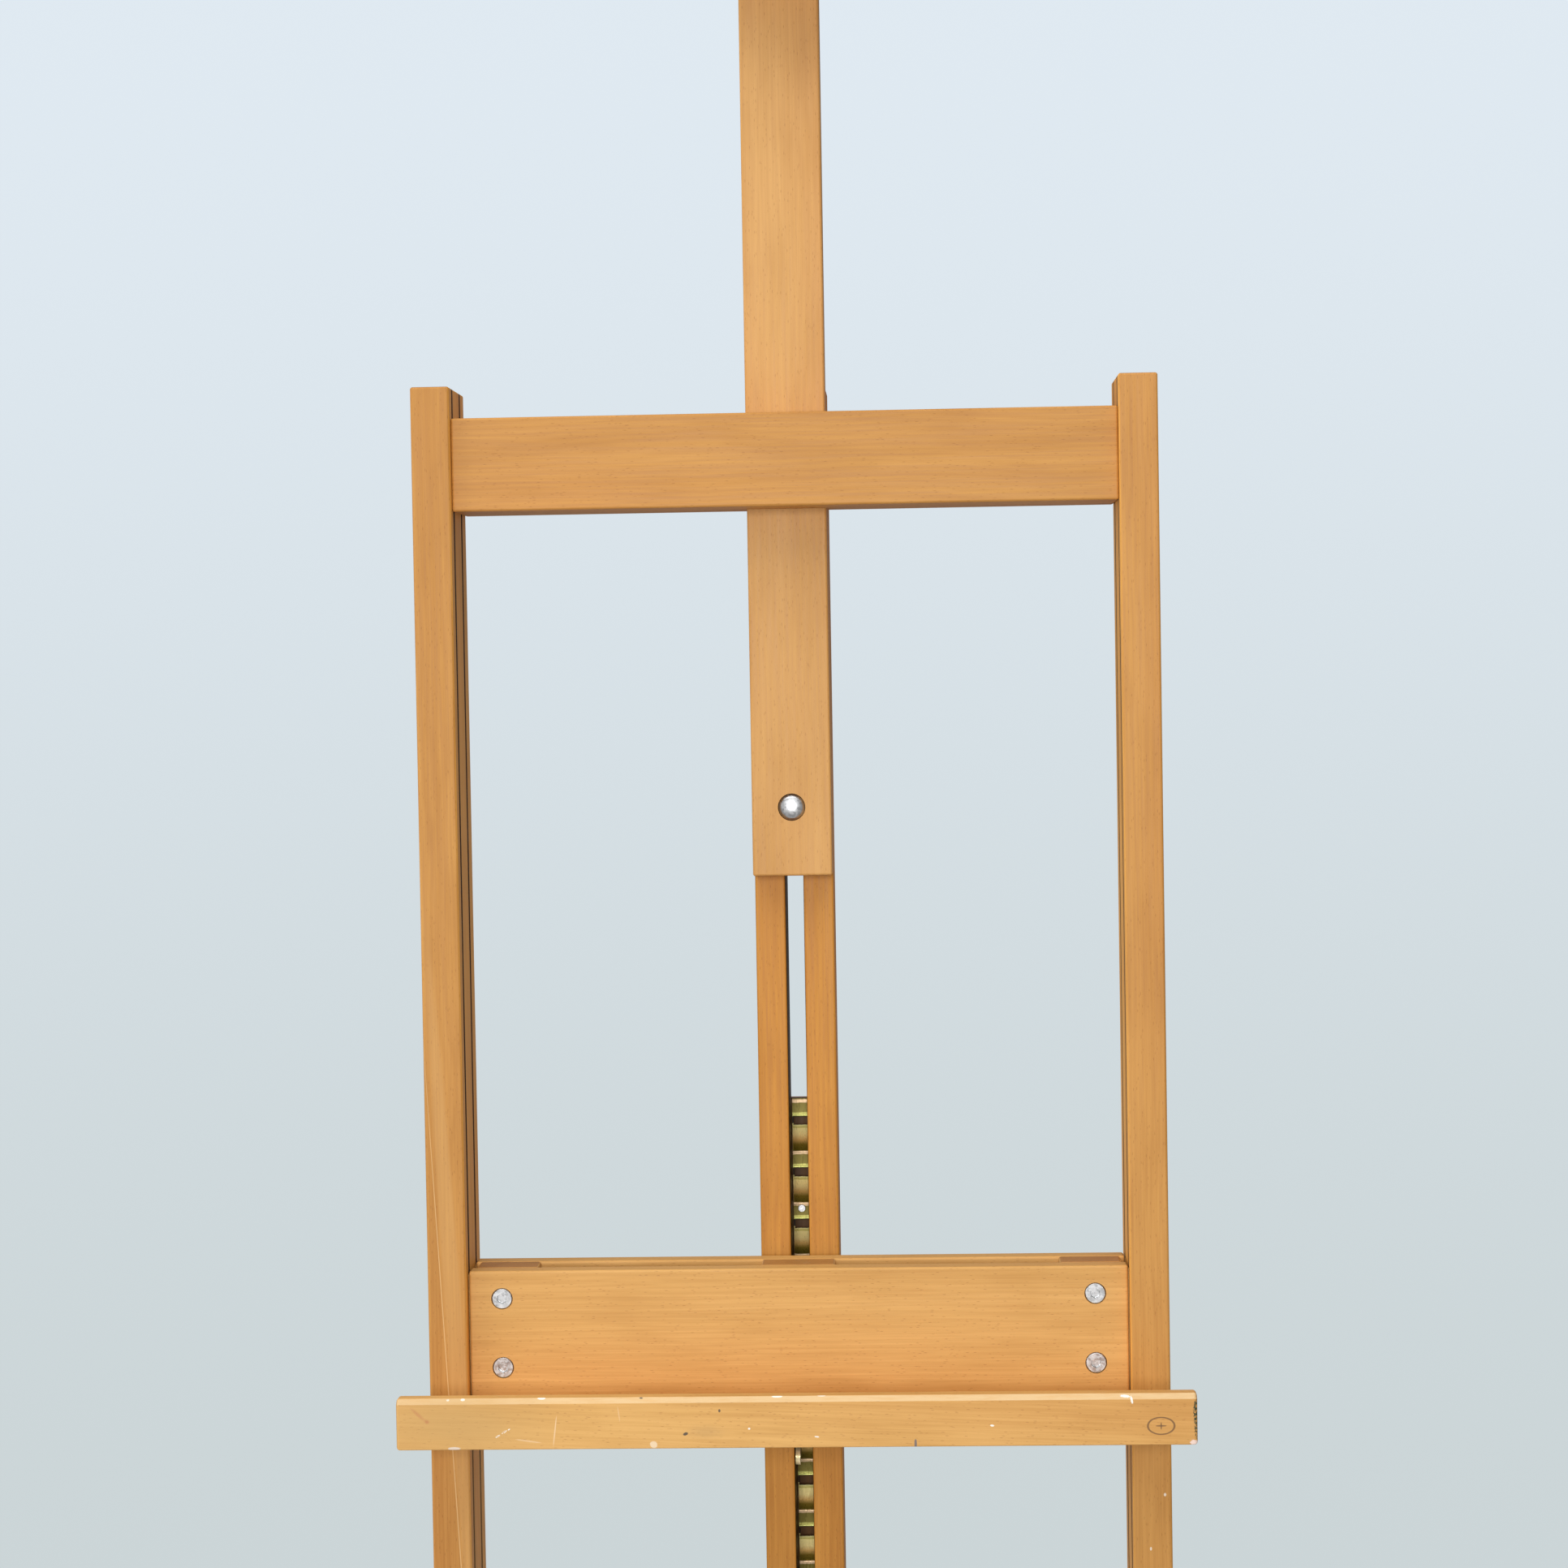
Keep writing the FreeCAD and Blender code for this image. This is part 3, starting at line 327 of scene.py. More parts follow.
def with_painted_inner_light_and_groove_shade(tree, tint):
    """Colour with painted light making the uprights' inner faces paler and painted shade darkening their grooves.
    """
    place = axes(tree, frame_coordinates(tree))
    across = size_of(tree, place["X"])
    sideways = size_of(tree, axes(tree, add(tree, "TexCoord").outputs["Normal"])["X"])
    # Painted light making the uprights' inner faces paler
    near_face = ranged(tree, across, UPRIGHT_INNER + 1 * MM, UPRIGHT_INNER + 2 * MM, 1.0, 0.0)
    inner_light = product(tree, ranged(tree, sideways, 0.6, 0.9), near_face)
    tint = blended(tree, inner_light, tint, INNER_FACE_PAINTED_LIGHT, "MULTIPLY")
    # Painted shade in the two grooves
    inside = ranged(tree, across, *GROOVE_SHADE, 1.0, 0.0)
    for depth in GROOVE_DEPTHS:
        away = size_of(tree, maths(tree, "SUBTRACT", place["Y"], depth))
        groove = product(tree, inside, ranged(tree, away, GROOVE_HALF, GROOVE_HALF + GROOVE_EDGE, 1.0, 0.0))
        tint = blended(tree, product(tree, groove, 0.92), tint, GROOVE_PAINTED_SHADE, "MULTIPLY")
    return tint


# How finely each layer of the wood is drawn, per metre: twice across the board, then along it
FIBRE_SCALE = (820, 820, 14)
STREAK_SCALE = (150, 150, 2.4)
BROAD_SCALE = (26, 26, 1.3)
WARM_SCALE = (9, 9, 1.1)
CLOUD_SCALE = (55, 55, 12)
FLECK_SCALE = (900, 900, 210)
RING_WARP_SCALE = (7, 7, 1.6)
RING_WARP = 0.016
RING_TAPER = 0.035

# How much each layer counts in the step from dark to light wood
RING_WEIGHT = 0.06
FIBRE_WEIGHT = 0.68
STREAK_WEIGHT = 0.22
BROAD_WEIGHT = 0.62

# What the wood's colour is multiplied by where it is warm, cloudy, flecked or cut across
WARM_TINT = (1.0, 0.86, 0.80)
CLOUD_TINT = (0.88, 0.84, 0.76)
FLECK_TINT = (0.52, 0.38, 0.28)
END_GRAIN_TINT = (0.66, 0.55, 0.48)


def growth_rings(tree, along):
    """Slow rings round the board's length, bent a little."""
    warp = add(tree, "TexNoise", {"Vector": mapped(tree, along, scale=RING_WARP_SCALE), "Detail": 2.0})
    push = add(tree, "VectorMath", {0: warp.outputs["Color"], "Scale": RING_WARP}, operation="SCALE")
    flattened = mapped(tree, along, scale=(1, 1, RING_TAPER))
    bent = add(tree, "VectorMath", {0: flattened, 1: push.outputs["Vector"]}).outputs["Vector"]
    waves_per_ring = math.pi / (10 * wood().ring_spacing)
    inputs = {"Vector": bent, "Scale": waves_per_ring, "Distortion": 1.2, "Detail": 2.0, "Detail Scale": 0.6}
    return add(tree, "TexWave", inputs, wave_type="RINGS", rings_direction="Z").outputs["Fac"]


def short_flecks(tree, along):
    """Short flecks along the board, in some of the cells of a stretched pattern."""
    cells = add(tree, "TexVoronoi", {"Vector": mapped(tree, along, scale=FLECK_SCALE), "Scale": 1.0})
    chosen = ranged(tree, add(tree, "SeparateColor", {0: cells.outputs["Color"]}).outputs[0], 0.45, 0.7)
    return product(tree, ranged(tree, cells.outputs["Distance"], 0.10, 0.32, 1.0, 0.0), chosen)


def beech(name, light, dark, turn, offset, marks=(), base_height=0.0, painted_light_and_wear=None):
    """Oiled beech: slow rings, fine fibres, short dark flecks, darker end grain, and painted light and shade if
    given.
    """
    material, tree, shader = blank_material(name)
    shader.inputs["Specular IOR Level"].default_value = 0.32
    coordinates = add(tree, "TexCoord")
    along = mapped(tree, coordinates.outputs["Object"], rotation=turn, location=offset)
    fibres = noise(tree, mapped(tree, along, scale=FIBRE_SCALE), detail=4.0, roughness=0.6)
    streaks = noise(tree, mapped(tree, along, scale=STREAK_SCALE), detail=2.0)
    broad = noise(tree, mapped(tree, along, scale=BROAD_SCALE), detail=2.0)
    shade = product(tree, growth_rings(tree, along), RING_WEIGHT)
    for layer, weight in ((fibres, FIBRE_WEIGHT), (streaks, STREAK_WEIGHT), (broad, BROAD_WEIGHT)):
        shade = maths(tree, "ADD", shade, product(tree, layer, weight))
    tint = blended(tree, ranged(tree, shade, 0.48, 1.16), dark, light)
    warm = noise(tree, mapped(tree, along, scale=WARM_SCALE, location=(3, 5, 7)), detail=2.0)
    tint = blended(tree, ranged(tree, warm, 0.42, 0.75, 0.0, 0.55), tint, WARM_TINT, "MULTIPLY")
    clouds = noise(tree, mapped(tree, along, scale=CLOUD_SCALE, location=(1, 2, 9)), detail=3.0)
    tint = blended(tree, ranged(tree, clouds, 0.40, 0.68, 0.0, 0.65), tint, CLOUD_TINT, "MULTIPLY")
    flecks = short_flecks(tree, along)
    tint = blended(tree, product(tree, flecks, wood().fleck_contrast), tint, FLECK_TINT, "MULTIPLY")
    end = size_of(tree, axes(tree, mapped(tree, coordinates.outputs["Normal"], rotation=turn))["Z"])
    end_tint = blended(tree, 1.0, tint, END_GRAIN_TINT, "MULTIPLY")
    tint = blended(tree, ranged(tree, end, 0.7, 0.95), tint, end_tint)
    # Painted light and shade for this board, where it has any
    if painted_light_and_wear:
        tint = painted_light_and_wear(tree, tint)
    if marks:
        tint = with_marks(tree, tint, marks, base_height)
    tree.links.new(tint, shader.inputs["Base Color"])
    tree.links.new(ranged(tree, fibres, 0.3, 0.7, 0.46, 0.60), shader.inputs["Roughness"])
    grain_height = maths(tree, "SUBTRACT", fibres, product(tree, flecks, 0.5))
    bumped(tree, shader, grain_height, 0.18, 0.3 * MM)
    return material


def dress(nodes, material):
    """Puts a material on CAD nodes."""
    for node in nodes:
        slots = frame["nodes"][node].data.materials
        slots.clear()
        slots.append(material)


# Marks of use on the lip, measured from its lower edge, and on the uprights, measured from the hinge
WHITE_PAINT = (0.86, 0.83, 0.74)
PALE_SCRATCH = (0.80, 0.56, 0.32)
DARK_STAIN = (0.055, 0.050, 0.045)
GREEN_PAINT = (0.030, 0.052, 0.026)
BURNT_BROWN = (0.17, 0.085, 0.035)
LIP_MARKS = (
    # The first is a broad soft darkening over the lip's left end, not a mark of use.
    {"at": (-215, 16, 80, 34), "tint": (0.49, 0.29, 0.10), "strength": 0.60, "soft": 0.95},
    {"at": (-236, 22.5, 8.5, 1.6), "turn": 42, "tint": (0.50, 0.21, 0.085), "strength": 0.55, "soft": 0.8},
    {"at": (-230.5, 18.0, 2.2, 1.8), "turn": 30, "tint": (0.46, 0.17, 0.070), "strength": 0.6, "soft": 0.8},
    {"at": (-150.2, 11.5, 0.45, 10.8), "turn": 7, "tint": PALE_SCRATCH, "strength": 0.8, "ragged": 0.1},
    {"at": (-110, 22, 0.35, 5.5), "turn": -8, "tint": PALE_SCRATCH, "strength": 0.5, "ragged": 0.1},
    {"at": (-186.0, 8.6, 1.9, 0.6), "turn": -28, "tint": WHITE_PAINT, "strength": 0.95, "broken": 1700},
    {"at": (-182.0, 11.2, 2.1, 0.65), "turn": -33, "tint": WHITE_PAINT, "strength": 0.95, "broken": 1700},
    {"at": (-179.0, 12.8, 0.9, 0.45), "turn": -33, "tint": WHITE_PAINT, "strength": 0.8, "ragged": 1.1},
    {"at": (-167.0, 5.4, 9.0, 0.6), "turn": 8, "tint": PALE_SCRATCH, "strength": 0.55},
    {"at": (-213.6, 1.0, 4.4, 1.1), "tint": (0.74, 0.70, 0.66), "strength": 0.6},
    {"at": (-68.4, 9.2, 1.8, 1.1), "turn": -20, "tint": DARK_STAIN, "strength": 0.92},
    {"at": (-56.0, 10.5, 17.0, 6.5), "tint": (0.40, 0.24, 0.095), "strength": 0.30, "soft": 0.95},
    {"at": (-47.0, 23.6, 0.8, 1.1), "tint": DARK_STAIN, "strength": 0.85},
    {"at": (-28.6, 12.2, 0.8, 0.7), "tint": WHITE_PAINT, "strength": 0.9},
    {"at": (-88.5, 2.6, 2.6, 2.4), "turn": 20, "tint": (0.82, 0.66, 0.46), "strength": 0.75},
    {"at": (-208.0, 31.2, 1.5, 0.7), "tint": WHITE_PAINT, "strength": 0.9, "ragged": 0.7},
    {"at": (-217.4, 31.0, 1.0, 0.6), "tint": WHITE_PAINT, "strength": 0.6, "ragged": 0.7},
    {"at": (-158.5, 31.6, 2.8, 0.7), "tint": WHITE_PAINT, "strength": 0.95},
    {"at": (-11.0, 31.6, 3.8, 0.6), "tint": WHITE_PAINT, "strength": 0.95},
    {"at": (-96.0, 31.4, 1.2, 0.5), "tint": DARK_STAIN, "strength": 0.8},
    {"at": (16.8, 32.0, 3.0, 0.55), "tint": WHITE_PAINT, "strength": 0.8},
    {"at": (13.6, 6.8, 1.6, 0.5), "turn": 8, "tint": WHITE_PAINT, "strength": 0.9},
    {"at": (122.7, 13.0, 1.4, 0.7), "turn": 6, "tint": WHITE_PAINT, "strength": 0.95},
    {"at": (75.0, 2.0, 0.9, 3.4), "tint": (0.10, 0.11, 0.14), "strength": 0.8},
    {"at": (205.4, 30.4, 3.4, 0.8), "turn": 4, "tint": WHITE_PAINT, "strength": 1.0, "ragged": 0.9},
    {"at": (209.4, 28.2, 0.8, 2.6), "turn": -10, "tint": WHITE_PAINT, "strength": 1.0, "ragged": 0.9},
    {"at": (249.4, 20.0, 2.3, 9.5), "tint": GREEN_PAINT, "strength": 0.95, "ragged": 0.9, "broken": 620},
    {"at": (249.4, 11.0, 1.8, 8.0), "tint": GREEN_PAINT, "strength": 0.85, "ragged": 0.9, "broken": 900},
    {"at": (247.6, 1.6, 2.9, 1.7), "tint": (0.86, 0.68, 0.62), "strength": 0.8, "ragged": 0.8},
    {"at": (227.4, 12.0, 8.4, 5.4), "tint": BURNT_BROWN, "strength": 0.85, "ring": True, "soft": 0.05,
     "ragged": 0.04},
    {"at": (227.4, 12.0, 3.6, 0.5), "tint": BURNT_BROWN, "strength": 0.8, "soft": 0.1, "ragged": 0.1},
    {"at": (227.4, 12.0, 0.5, 2.4), "tint": BURNT_BROWN, "strength": 0.8, "soft": 0.1, "ragged": 0.1},
)
UPRIGHT_MARKS = (
    {"at": (-216.4, 605, 7.0, 420), "turn": -3.0, "tint": (0.66, 0.40, 0.155), "strength": 0.26,
     "soft": 0.35, "ragged": 0},
    {"at": (-223.4, 605, 0.45, 420), "turn": -3.0, "tint": (0.80, 0.55, 0.27), "strength": 0.5, "soft": 0.6,
     "ragged": 0},
    {"at": (234.5, 601, 0.9, 1.2), "tint": WHITE_PAINT, "strength": 0.7},
    {"at": (225.0, 566, 0.7, 1.3), "tint": WHITE_PAINT, "strength": 0.7},
)


def lip_height():
    """Height of the lip's lower edge above the hinge, along the frame."""
    corners = [TO_FRAME @ (vertex.co - HINGE) for vertex in frame["nodes"]["tray_lip"].data.vertices]
    return min(corner.z for corner in corners)


class EASEL_OT_base_boards(bpy.types.Operator):
    """Finish the runners, cross-members, spacers and struts in beech"""
    bl_idname = "easel.base_boards"
    bl_label = "Base boards"

    def execute(self, context):
        tones = wood()
        dress(("left_runner", "right_runner"),
              beech("beech_runner", tones.frame_light, tones.frame_dark, RUNNER_GRAIN, (0.11, 0.02, 0)))
        dress(("front_cross_member", "rear_cross_member", "hinge_spacers"),
              beech("beech_cross_member", tones.frame_light, tones.frame_dark, FLOOR_ACROSS_GRAIN,
                    (0.04, 0.13, 0)))
        dress(("left_strut", "right_strut"),
              beech("beech_strut", tones.frame_light, tones.frame_dark, STRUT_GRAIN, (0.05, 0.21, 0)))
        return {"FINISHED"}


class EASEL_OT_frame_boards(bpy.types.Operator):
    """Finish the uprights, crossbars and centre rails in beech"""
    bl_idname = "easel.frame_boards"
    bl_label = "Frame boards"

    def execute(self, context):
        tones = wood()
        # The uprights get painted light on their inner faces and painted shade in their grooves.
        dress(("left_upright", "right_upright"),
              beech("beech_upright", tones.frame_light, tones.frame_dark, UPRIGHT_GRAIN, (0.02, 0.10, 0),
                    UPRIGHT_MARKS, painted_light_and_wear=with_painted_inner_light_and_groove_shade))
        dress(("lower_crossbar", "upper_crossbar", "head_plate"),
              beech("beech_crossbar", tones.frame_light, tones.frame_dark, ACROSS_GRAIN, (0.17, 0.07, 0)))
        # The rails and the batten get painted shade inside the slot between the rails.
        dress(("left_rail", "right_rail", "slot_spacers", "head_blocks", "rack_batten"),
              beech("beech_rail", tones.rail_light, tones.rail_dark, UPRIGHT_GRAIN, (0.09, 0.16, 0),
                    painted_light_and_wear=with_painted_slot_shade))
        return {"FINISHED"}


class EASEL_OT_tray_boards(bpy.types.Operator):
    """Finish the tray's lip, floor and carriage in paler beech, with the marks of use on the lip"""
    bl_idname = "easel.tray_boards"
    bl_label = "Tray boards"

    def execute(self, context):
        tones = wood()
        # The lip gets a painted highlight on its top arris.
        dress(("tray_lip",),
              beech("beech_lip", tones.tray_light, tones.tray_dark, LIP_GRAIN, (0.06, 0.19, 0),
                    LIP_MARKS, lip_height(), with_painted_arris_highlight))
        dress(("tray_floor", "front_carriage_bar", "rear_carriage_bar", "lip_dowels"),
              beech("beech_tray", tones.tray_light, tones.tray_dark, ACROSS_GRAIN, (0.21, 0.03, 0)))
        dress(("carriage_blocks",),
              beech("beech_block", tones.tray_light, tones.tray_dark, UPRIGHT_GRAIN, (0.21, 0.03, 0)))
        return {"FINISHED"}


class EASEL_OT_mast_boards(bpy.types.Operator):
    """Finish the mast and the canvas holder in paler beech"""
    bl_idname = "easel.mast_boards"
    bl_label = "Mast and holder boards"

    def execute(self, context):
        tones = wood()
        dress(("mast", "mast_guide", "guide_dowels", "mast_clamp_plate"),
              beech("beech_mast", tones.mast_light, tones.mast_dark, UPRIGHT_GRAIN, (0.13, 0.05, 0)))
        dress(("holder_head", "holder_back_plate"),
              beech("beech_holder", tones.mast_light, tones.mast_dark, ACROSS_GRAIN, (0.08, 0.27, 0)))
        dress(("holder_cheeks",),
              beech("beech_cheek", tones.mast_light, tones.mast_dark, UPRIGHT_GRAIN, (0.30, 0.11, 0)))
        return {"FINISHED"}


# Metal, plastic and rubber -------------------------------------------------------------------

def brass_finish():
    """Yellow-plated pressed steel, clouded with olive and lightly scuffed."""
    material, tree, shader = blank_material("brass_pressed", metallic=0.45)
    here = add(tree, "TexCoord").outputs["Object"]
    clouds = noise(tree, here, detail=4.0, scale=110.0)
    scuffs = noise(tree, mapped(tree, here, scale=(900, 900, 160)), detail=3.0)
    tint = blended(tree, ranged(tree, clouds, 0.42, 0.66, 0.0, 0.75), metal().brass, metal().olive)
    tree.links.new(tint, shader.inputs["Base Color"])
    tree.links.new(ranged(tree, scuffs, 0.3, 0.7, 0.32, 0.50), shader.inputs["Roughness"])
    bumped(tree, shader, maths(tree, "ADD", scuffs, clouds), 0.15, 0.2 * MM)
    return material


# Colours down one pitch of the rack, from the top of a tooth up to the top of the next, with light and shade
# painted
# in: the opening as near-black shade, a painted highlight on the edge above it, the flat bar, a painted highlight
# on the cut rim, and the bent tongue painted dark at its foot and gold towards its top as its reflection
RACK_PAINTED_TONES = (
    (0.00, (0.012, 0.009, 0.004)), (0.125, (0.012, 0.009, 0.004)), (0.150, (0.80, 0.80, 0.24)),
    (0.195, (0.78, 0.74, 0.22)), (0.220, (0.27, 0.22, 0.050)), (0.390, (0.22, 0.17, 0.035)),
    (0.415, (1.00, 0.70, 0.42)), (0.450, (1.00, 0.70, 0.42)), (0.475, (0.16, 0.12, 0.012)),
    (0.600, (0.26, 0.17, 0.020)), (0.700, (0.80, 0.48, 0.15)), (0.800, (1.00, 0.78, 0.32)),
    (0.930, (1.00, 0.82, 0.34)), (0.950, (0.60, 0.50, 0.12)), (1.00, (0.90, 0.80, 0.35)),
)


def rack_finish():
    """Yellow-plated pressed strip with painted highlights on its proud edges, painted shade in its openings and
    hollows, and clouds of tarnish.
    """
    material, tree, shader = blank_material("rack_pressed", metallic=0.3)
    shader.inputs["Specular IOR Level"].default_value = 0.2
    here = add(tree, "TexCoord").outputs["Object"]
    height = axes(tree, frame_coordinates(tree))["Z"]
    wobble = product(tree, maths(tree, "SUBTRACT", noise(tree, here, scale=260.0), 0.5), RACK_WOBBLE)
    above = maths(tree, "SUBTRACT", maths(tree, "ADD", height, wobble), RACK_TOOTH_TOP)
    phase = maths(tree, "FRACT", maths(tree, "DIVIDE", above, RACK_PITCH))
    # The ramp paints the strip's highlights and shade down each pitch
    ramp = add(tree, "ValToRGB", {0: phase})
    stops = ramp.color_ramp.elements
    for position, tone in RACK_PAINTED_TONES[1:-1]:
        stops.new(position).color = (*tone, 1)
    stops[0].color = (*RACK_PAINTED_TONES[0][1], 1)
    stops[-1].color = (*RACK_PAINTED_TONES[-1][1], 1)
    clouds = noise(tree, here, detail=4.0, scale=170.0)
    dull = ranged(tree, clouds, 0.5, 0.8, 0.0, 0.20)
    tint = blended(tree, dull, ramp.outputs["Color"], (0.70, 0.74, 0.50), "MULTIPLY")
    scuffs = noise(tree, mapped(tree, here, scale=(900, 900, 160)), detail=3.0)
    tree.links.new(tint, shader.inputs["Base Color"])
    tree.links.new(ranged(tree, scuffs, 0.3, 0.7, 0.24, 0.42), shader.inputs["Roughness"])
    bumped(tree, shader, scuffs, 0.12, 0.15 * MM)
    return material


def zinc_finish():
    """Bright zinc plate with fine spangle."""
    material, tree, shader = blank_material("zinc_plate", metallic=1.0)
    here = add(tree, "TexCoord").outputs["Object"]
    cells = add(tree, "TexVoronoi", {"Vector": here, "Scale": 700.0})
    spangle = add(tree, "SeparateColor", {0: cells.outputs["Color"]}).outputs[0]
    painted_light_and_wear = noise(tree, here, detail=4.0, scale=240.0)
    darker = tuple(channel * 0.62 for channel in metal().zinc)
    tint = blended(tree, ranged(tree, painted_light_and_wear, 0.35, 0.7, 0.0, 0.6), metal().zinc, darker)
    tree.links.new(tint, shader.inputs["Base Color"])
    tree.links.new(ranged(tree, spangle, 0.0, 1.0, 0.28, 0.44), shader.inputs["Roughness"])
    bumped(tree, shader, painted_light_and_wear, 0.12, 0.1 * MM)
    return material


def moulded_finish(name, tint, dusty, roughness, grain_scale):
    """Moulded plastic or rubber with a fine pebbled skin and a little dust."""
    material, tree, shader = blank_material(name)
    here = add(tree, "TexCoord").outputs["Object"]
    pebbles = noise(tree, here, detail=2.0, scale=grain_scale)
    dust = noise(tree, here, detail=5.0, scale=60.0)
    shade = blended(tree, ranged(tree, dust, 0.5, 0.8, 0.0, 0.5), tint, dusty)
    tree.links.new(shade, shader.inputs["Base Color"])
    duller = ranged(tree, dust, 0.3, 0.7, roughness - 0.06, roughness + 0.08)
    tree.links.new(duller, shader.inputs["Roughness"])
    bumped(tree, shader, pebbles, 0.25, 0.15 * MM)
    return material


class EASEL_OT_rack_and_catch(bpy.types.Operator):
    """Finish the pressed rack, the catch and the holder's insert in brass, the bracket in zinc"""
    bl_idname = "easel.rack_and_catch"
    bl_label = "Rack and catch"

    def execute(self, context):
        dress(("rack_strip",), rack_finish())
        dress(("catch_lever", "holder_nut"), brass_finish())
        dress(("catch_bracket", "catch_pin", "pivot_nuts", "strut_washers", "mast_washer",
               "holder_clamp_screw"), zinc_finish())
        return {"FINISHED"}


# Modelled pieces -----------------------------------------------------------------------------

def stand_in(name, mesh, material, node):
    """Object from a finished bmesh that rides with, and stands for, a CAD node."""
    bmesh.ops.recalc_face_normals(mesh, faces=mesh.faces)
    data = bpy.data.meshes.new(name)
    mesh.to_mesh(data)
    mesh.free()
    data.materials.append(material)
    piece = bpy.data.objects.new(name, data)
    bpy.context.scene.collection.objects.link(piece)
    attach(piece, BODY_OF[node])
    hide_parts(node)
    return piece


def shade_smooth(piece, angle=35):
    """Smooth shading with sharp edges kept."""
    piece.data.shade_smooth()
    piece.data.set_sharp_from_angle(angle=math.radians(angle))


def islands(node):
    """Vertex places of each separate solid in a CAD node."""
    mesh = bmesh.new()
    mesh.from_mesh(frame["nodes"][node].data)
    bmesh.ops.remove_doubles(mesh, verts=mesh.verts, dist=0.001 * MM)
    waiting = set(mesh.verts)
    found = []
    while waiting:
        edge_of_island = [waiting.pop()]
        places = []
        while edge_of_island:
            vertex = edge_of_island.pop()
            places.append(vertex.co.copy())
            near = {edge.other_vert(vertex) for edge in vertex.link_edges} & waiting
            waiting -= near
            edge_of_island.extend(near)
        found.append(places)
    mesh.free()
    return sorted(found, key=lambda island: tuple(island_centre(island)))


def island_centre(places):
    """Middle of the box of some places."""
    low = Vector(map(min, zip(*places)))
    high = Vector(map(max, zip(*places)))
    return (low + high) / 2


def pin_facts(places, axis):
    """Head place, outward direction and sizes of a headed pin that lies along axis."""
    turn = axis.to_track_quat("Z", "Y").to_matrix()
    local = [turn.inverted() @ place for place in places]
    centre = island_centre(local)
    local = [place - centre for place in local]
    reach = max(place.z for place in local)
    near = 0.02 * MM
    high_width = max(place.xy.length for place in local if place.z > reach - near)
    low_width = max(place.xy.length for place in local if place.z < near - reach)
    side = 1 if high_width > low_width else -1
    head_radius = max(high_width, low_width)
    rims = [place.z * side for place in local if place.xy.length > head_radius * 0.97]
    return {"top": turn @ (centre + Vector((0, 0, side * reach))), "outward": axis * side,
            "head_radius": head_radius, "head_height": max(rims) - min(rims),
            "shank_radius": min(high_width, low_width), "length": 2 * reach}


def next_ring(mesh, edges, radius_factor, rise):
    """Extrudes a loop, scales it about the Z axis and lifts it; returns the new loop."""
    out = bmesh.ops.extrude_edge_only(mesh, edges=edges)["geom"]
    verts = [item for item in out if isinstance(item, bmesh.types.BMVert)]
    bmesh.ops.scale(mesh, vec=(radius_factor, radius_factor, 1), verts=verts)
    bmesh.ops.translate(mesh, vec=(0, 0, rise), verts=verts)
    return [item for item in out if isinstance(item, bmesh.types.BMEdge)]


def ring(mesh, radius, segments):
    """Open circle of edges round the origin."""
    made = bmesh.ops.create_circle(mesh, cap_ends=False, radius=radius, segments=segments)["verts"]
    return list(dict.fromkeys(edge for vert in made for edge in vert.link_edges))


def cross_outline(mesh, reach, half_arm):
    """Open cross-shaped loop of edges for a driver recess."""
    made = bmesh.ops.create_grid(mesh, x_segments=3, y_segments=3, size=reach)["verts"]
    for vert in made:
        for axis in (0, 1):
            if abs(vert.co[axis]) < reach * 0.9:
                vert.co[axis] = math.copysign(half_arm, vert.co[axis])
    faces = list(dict.fromkeys(face for vert in made for face in vert.link_faces))
    corners = [face for face in faces if min(map(abs, face.calc_center_median()[:2])) > half_arm]
    bmesh.ops.delete(mesh, geom=corners, context="FACES")
    kept = [face for face in faces if face.is_valid]
    rim = [edge for face in kept for edge in face.edges if edge.is_boundary]
    bmesh.ops.delete(mesh, geom=kept, context="FACES_ONLY")
    return list(dict.fromkeys(rim))


def closed_cap(mesh, edges):
    """Face over an open loop."""
    bmesh.ops.contextual_create(mesh, geom=edges)


PIN_SEGMENTS = 32
DOME_STEPS = 5
DOME_FIRST = math.radians(8)
DOME_LAST = math.radians(80)
DOME_RISE = 0.8
DOME_EDGE = 0.1


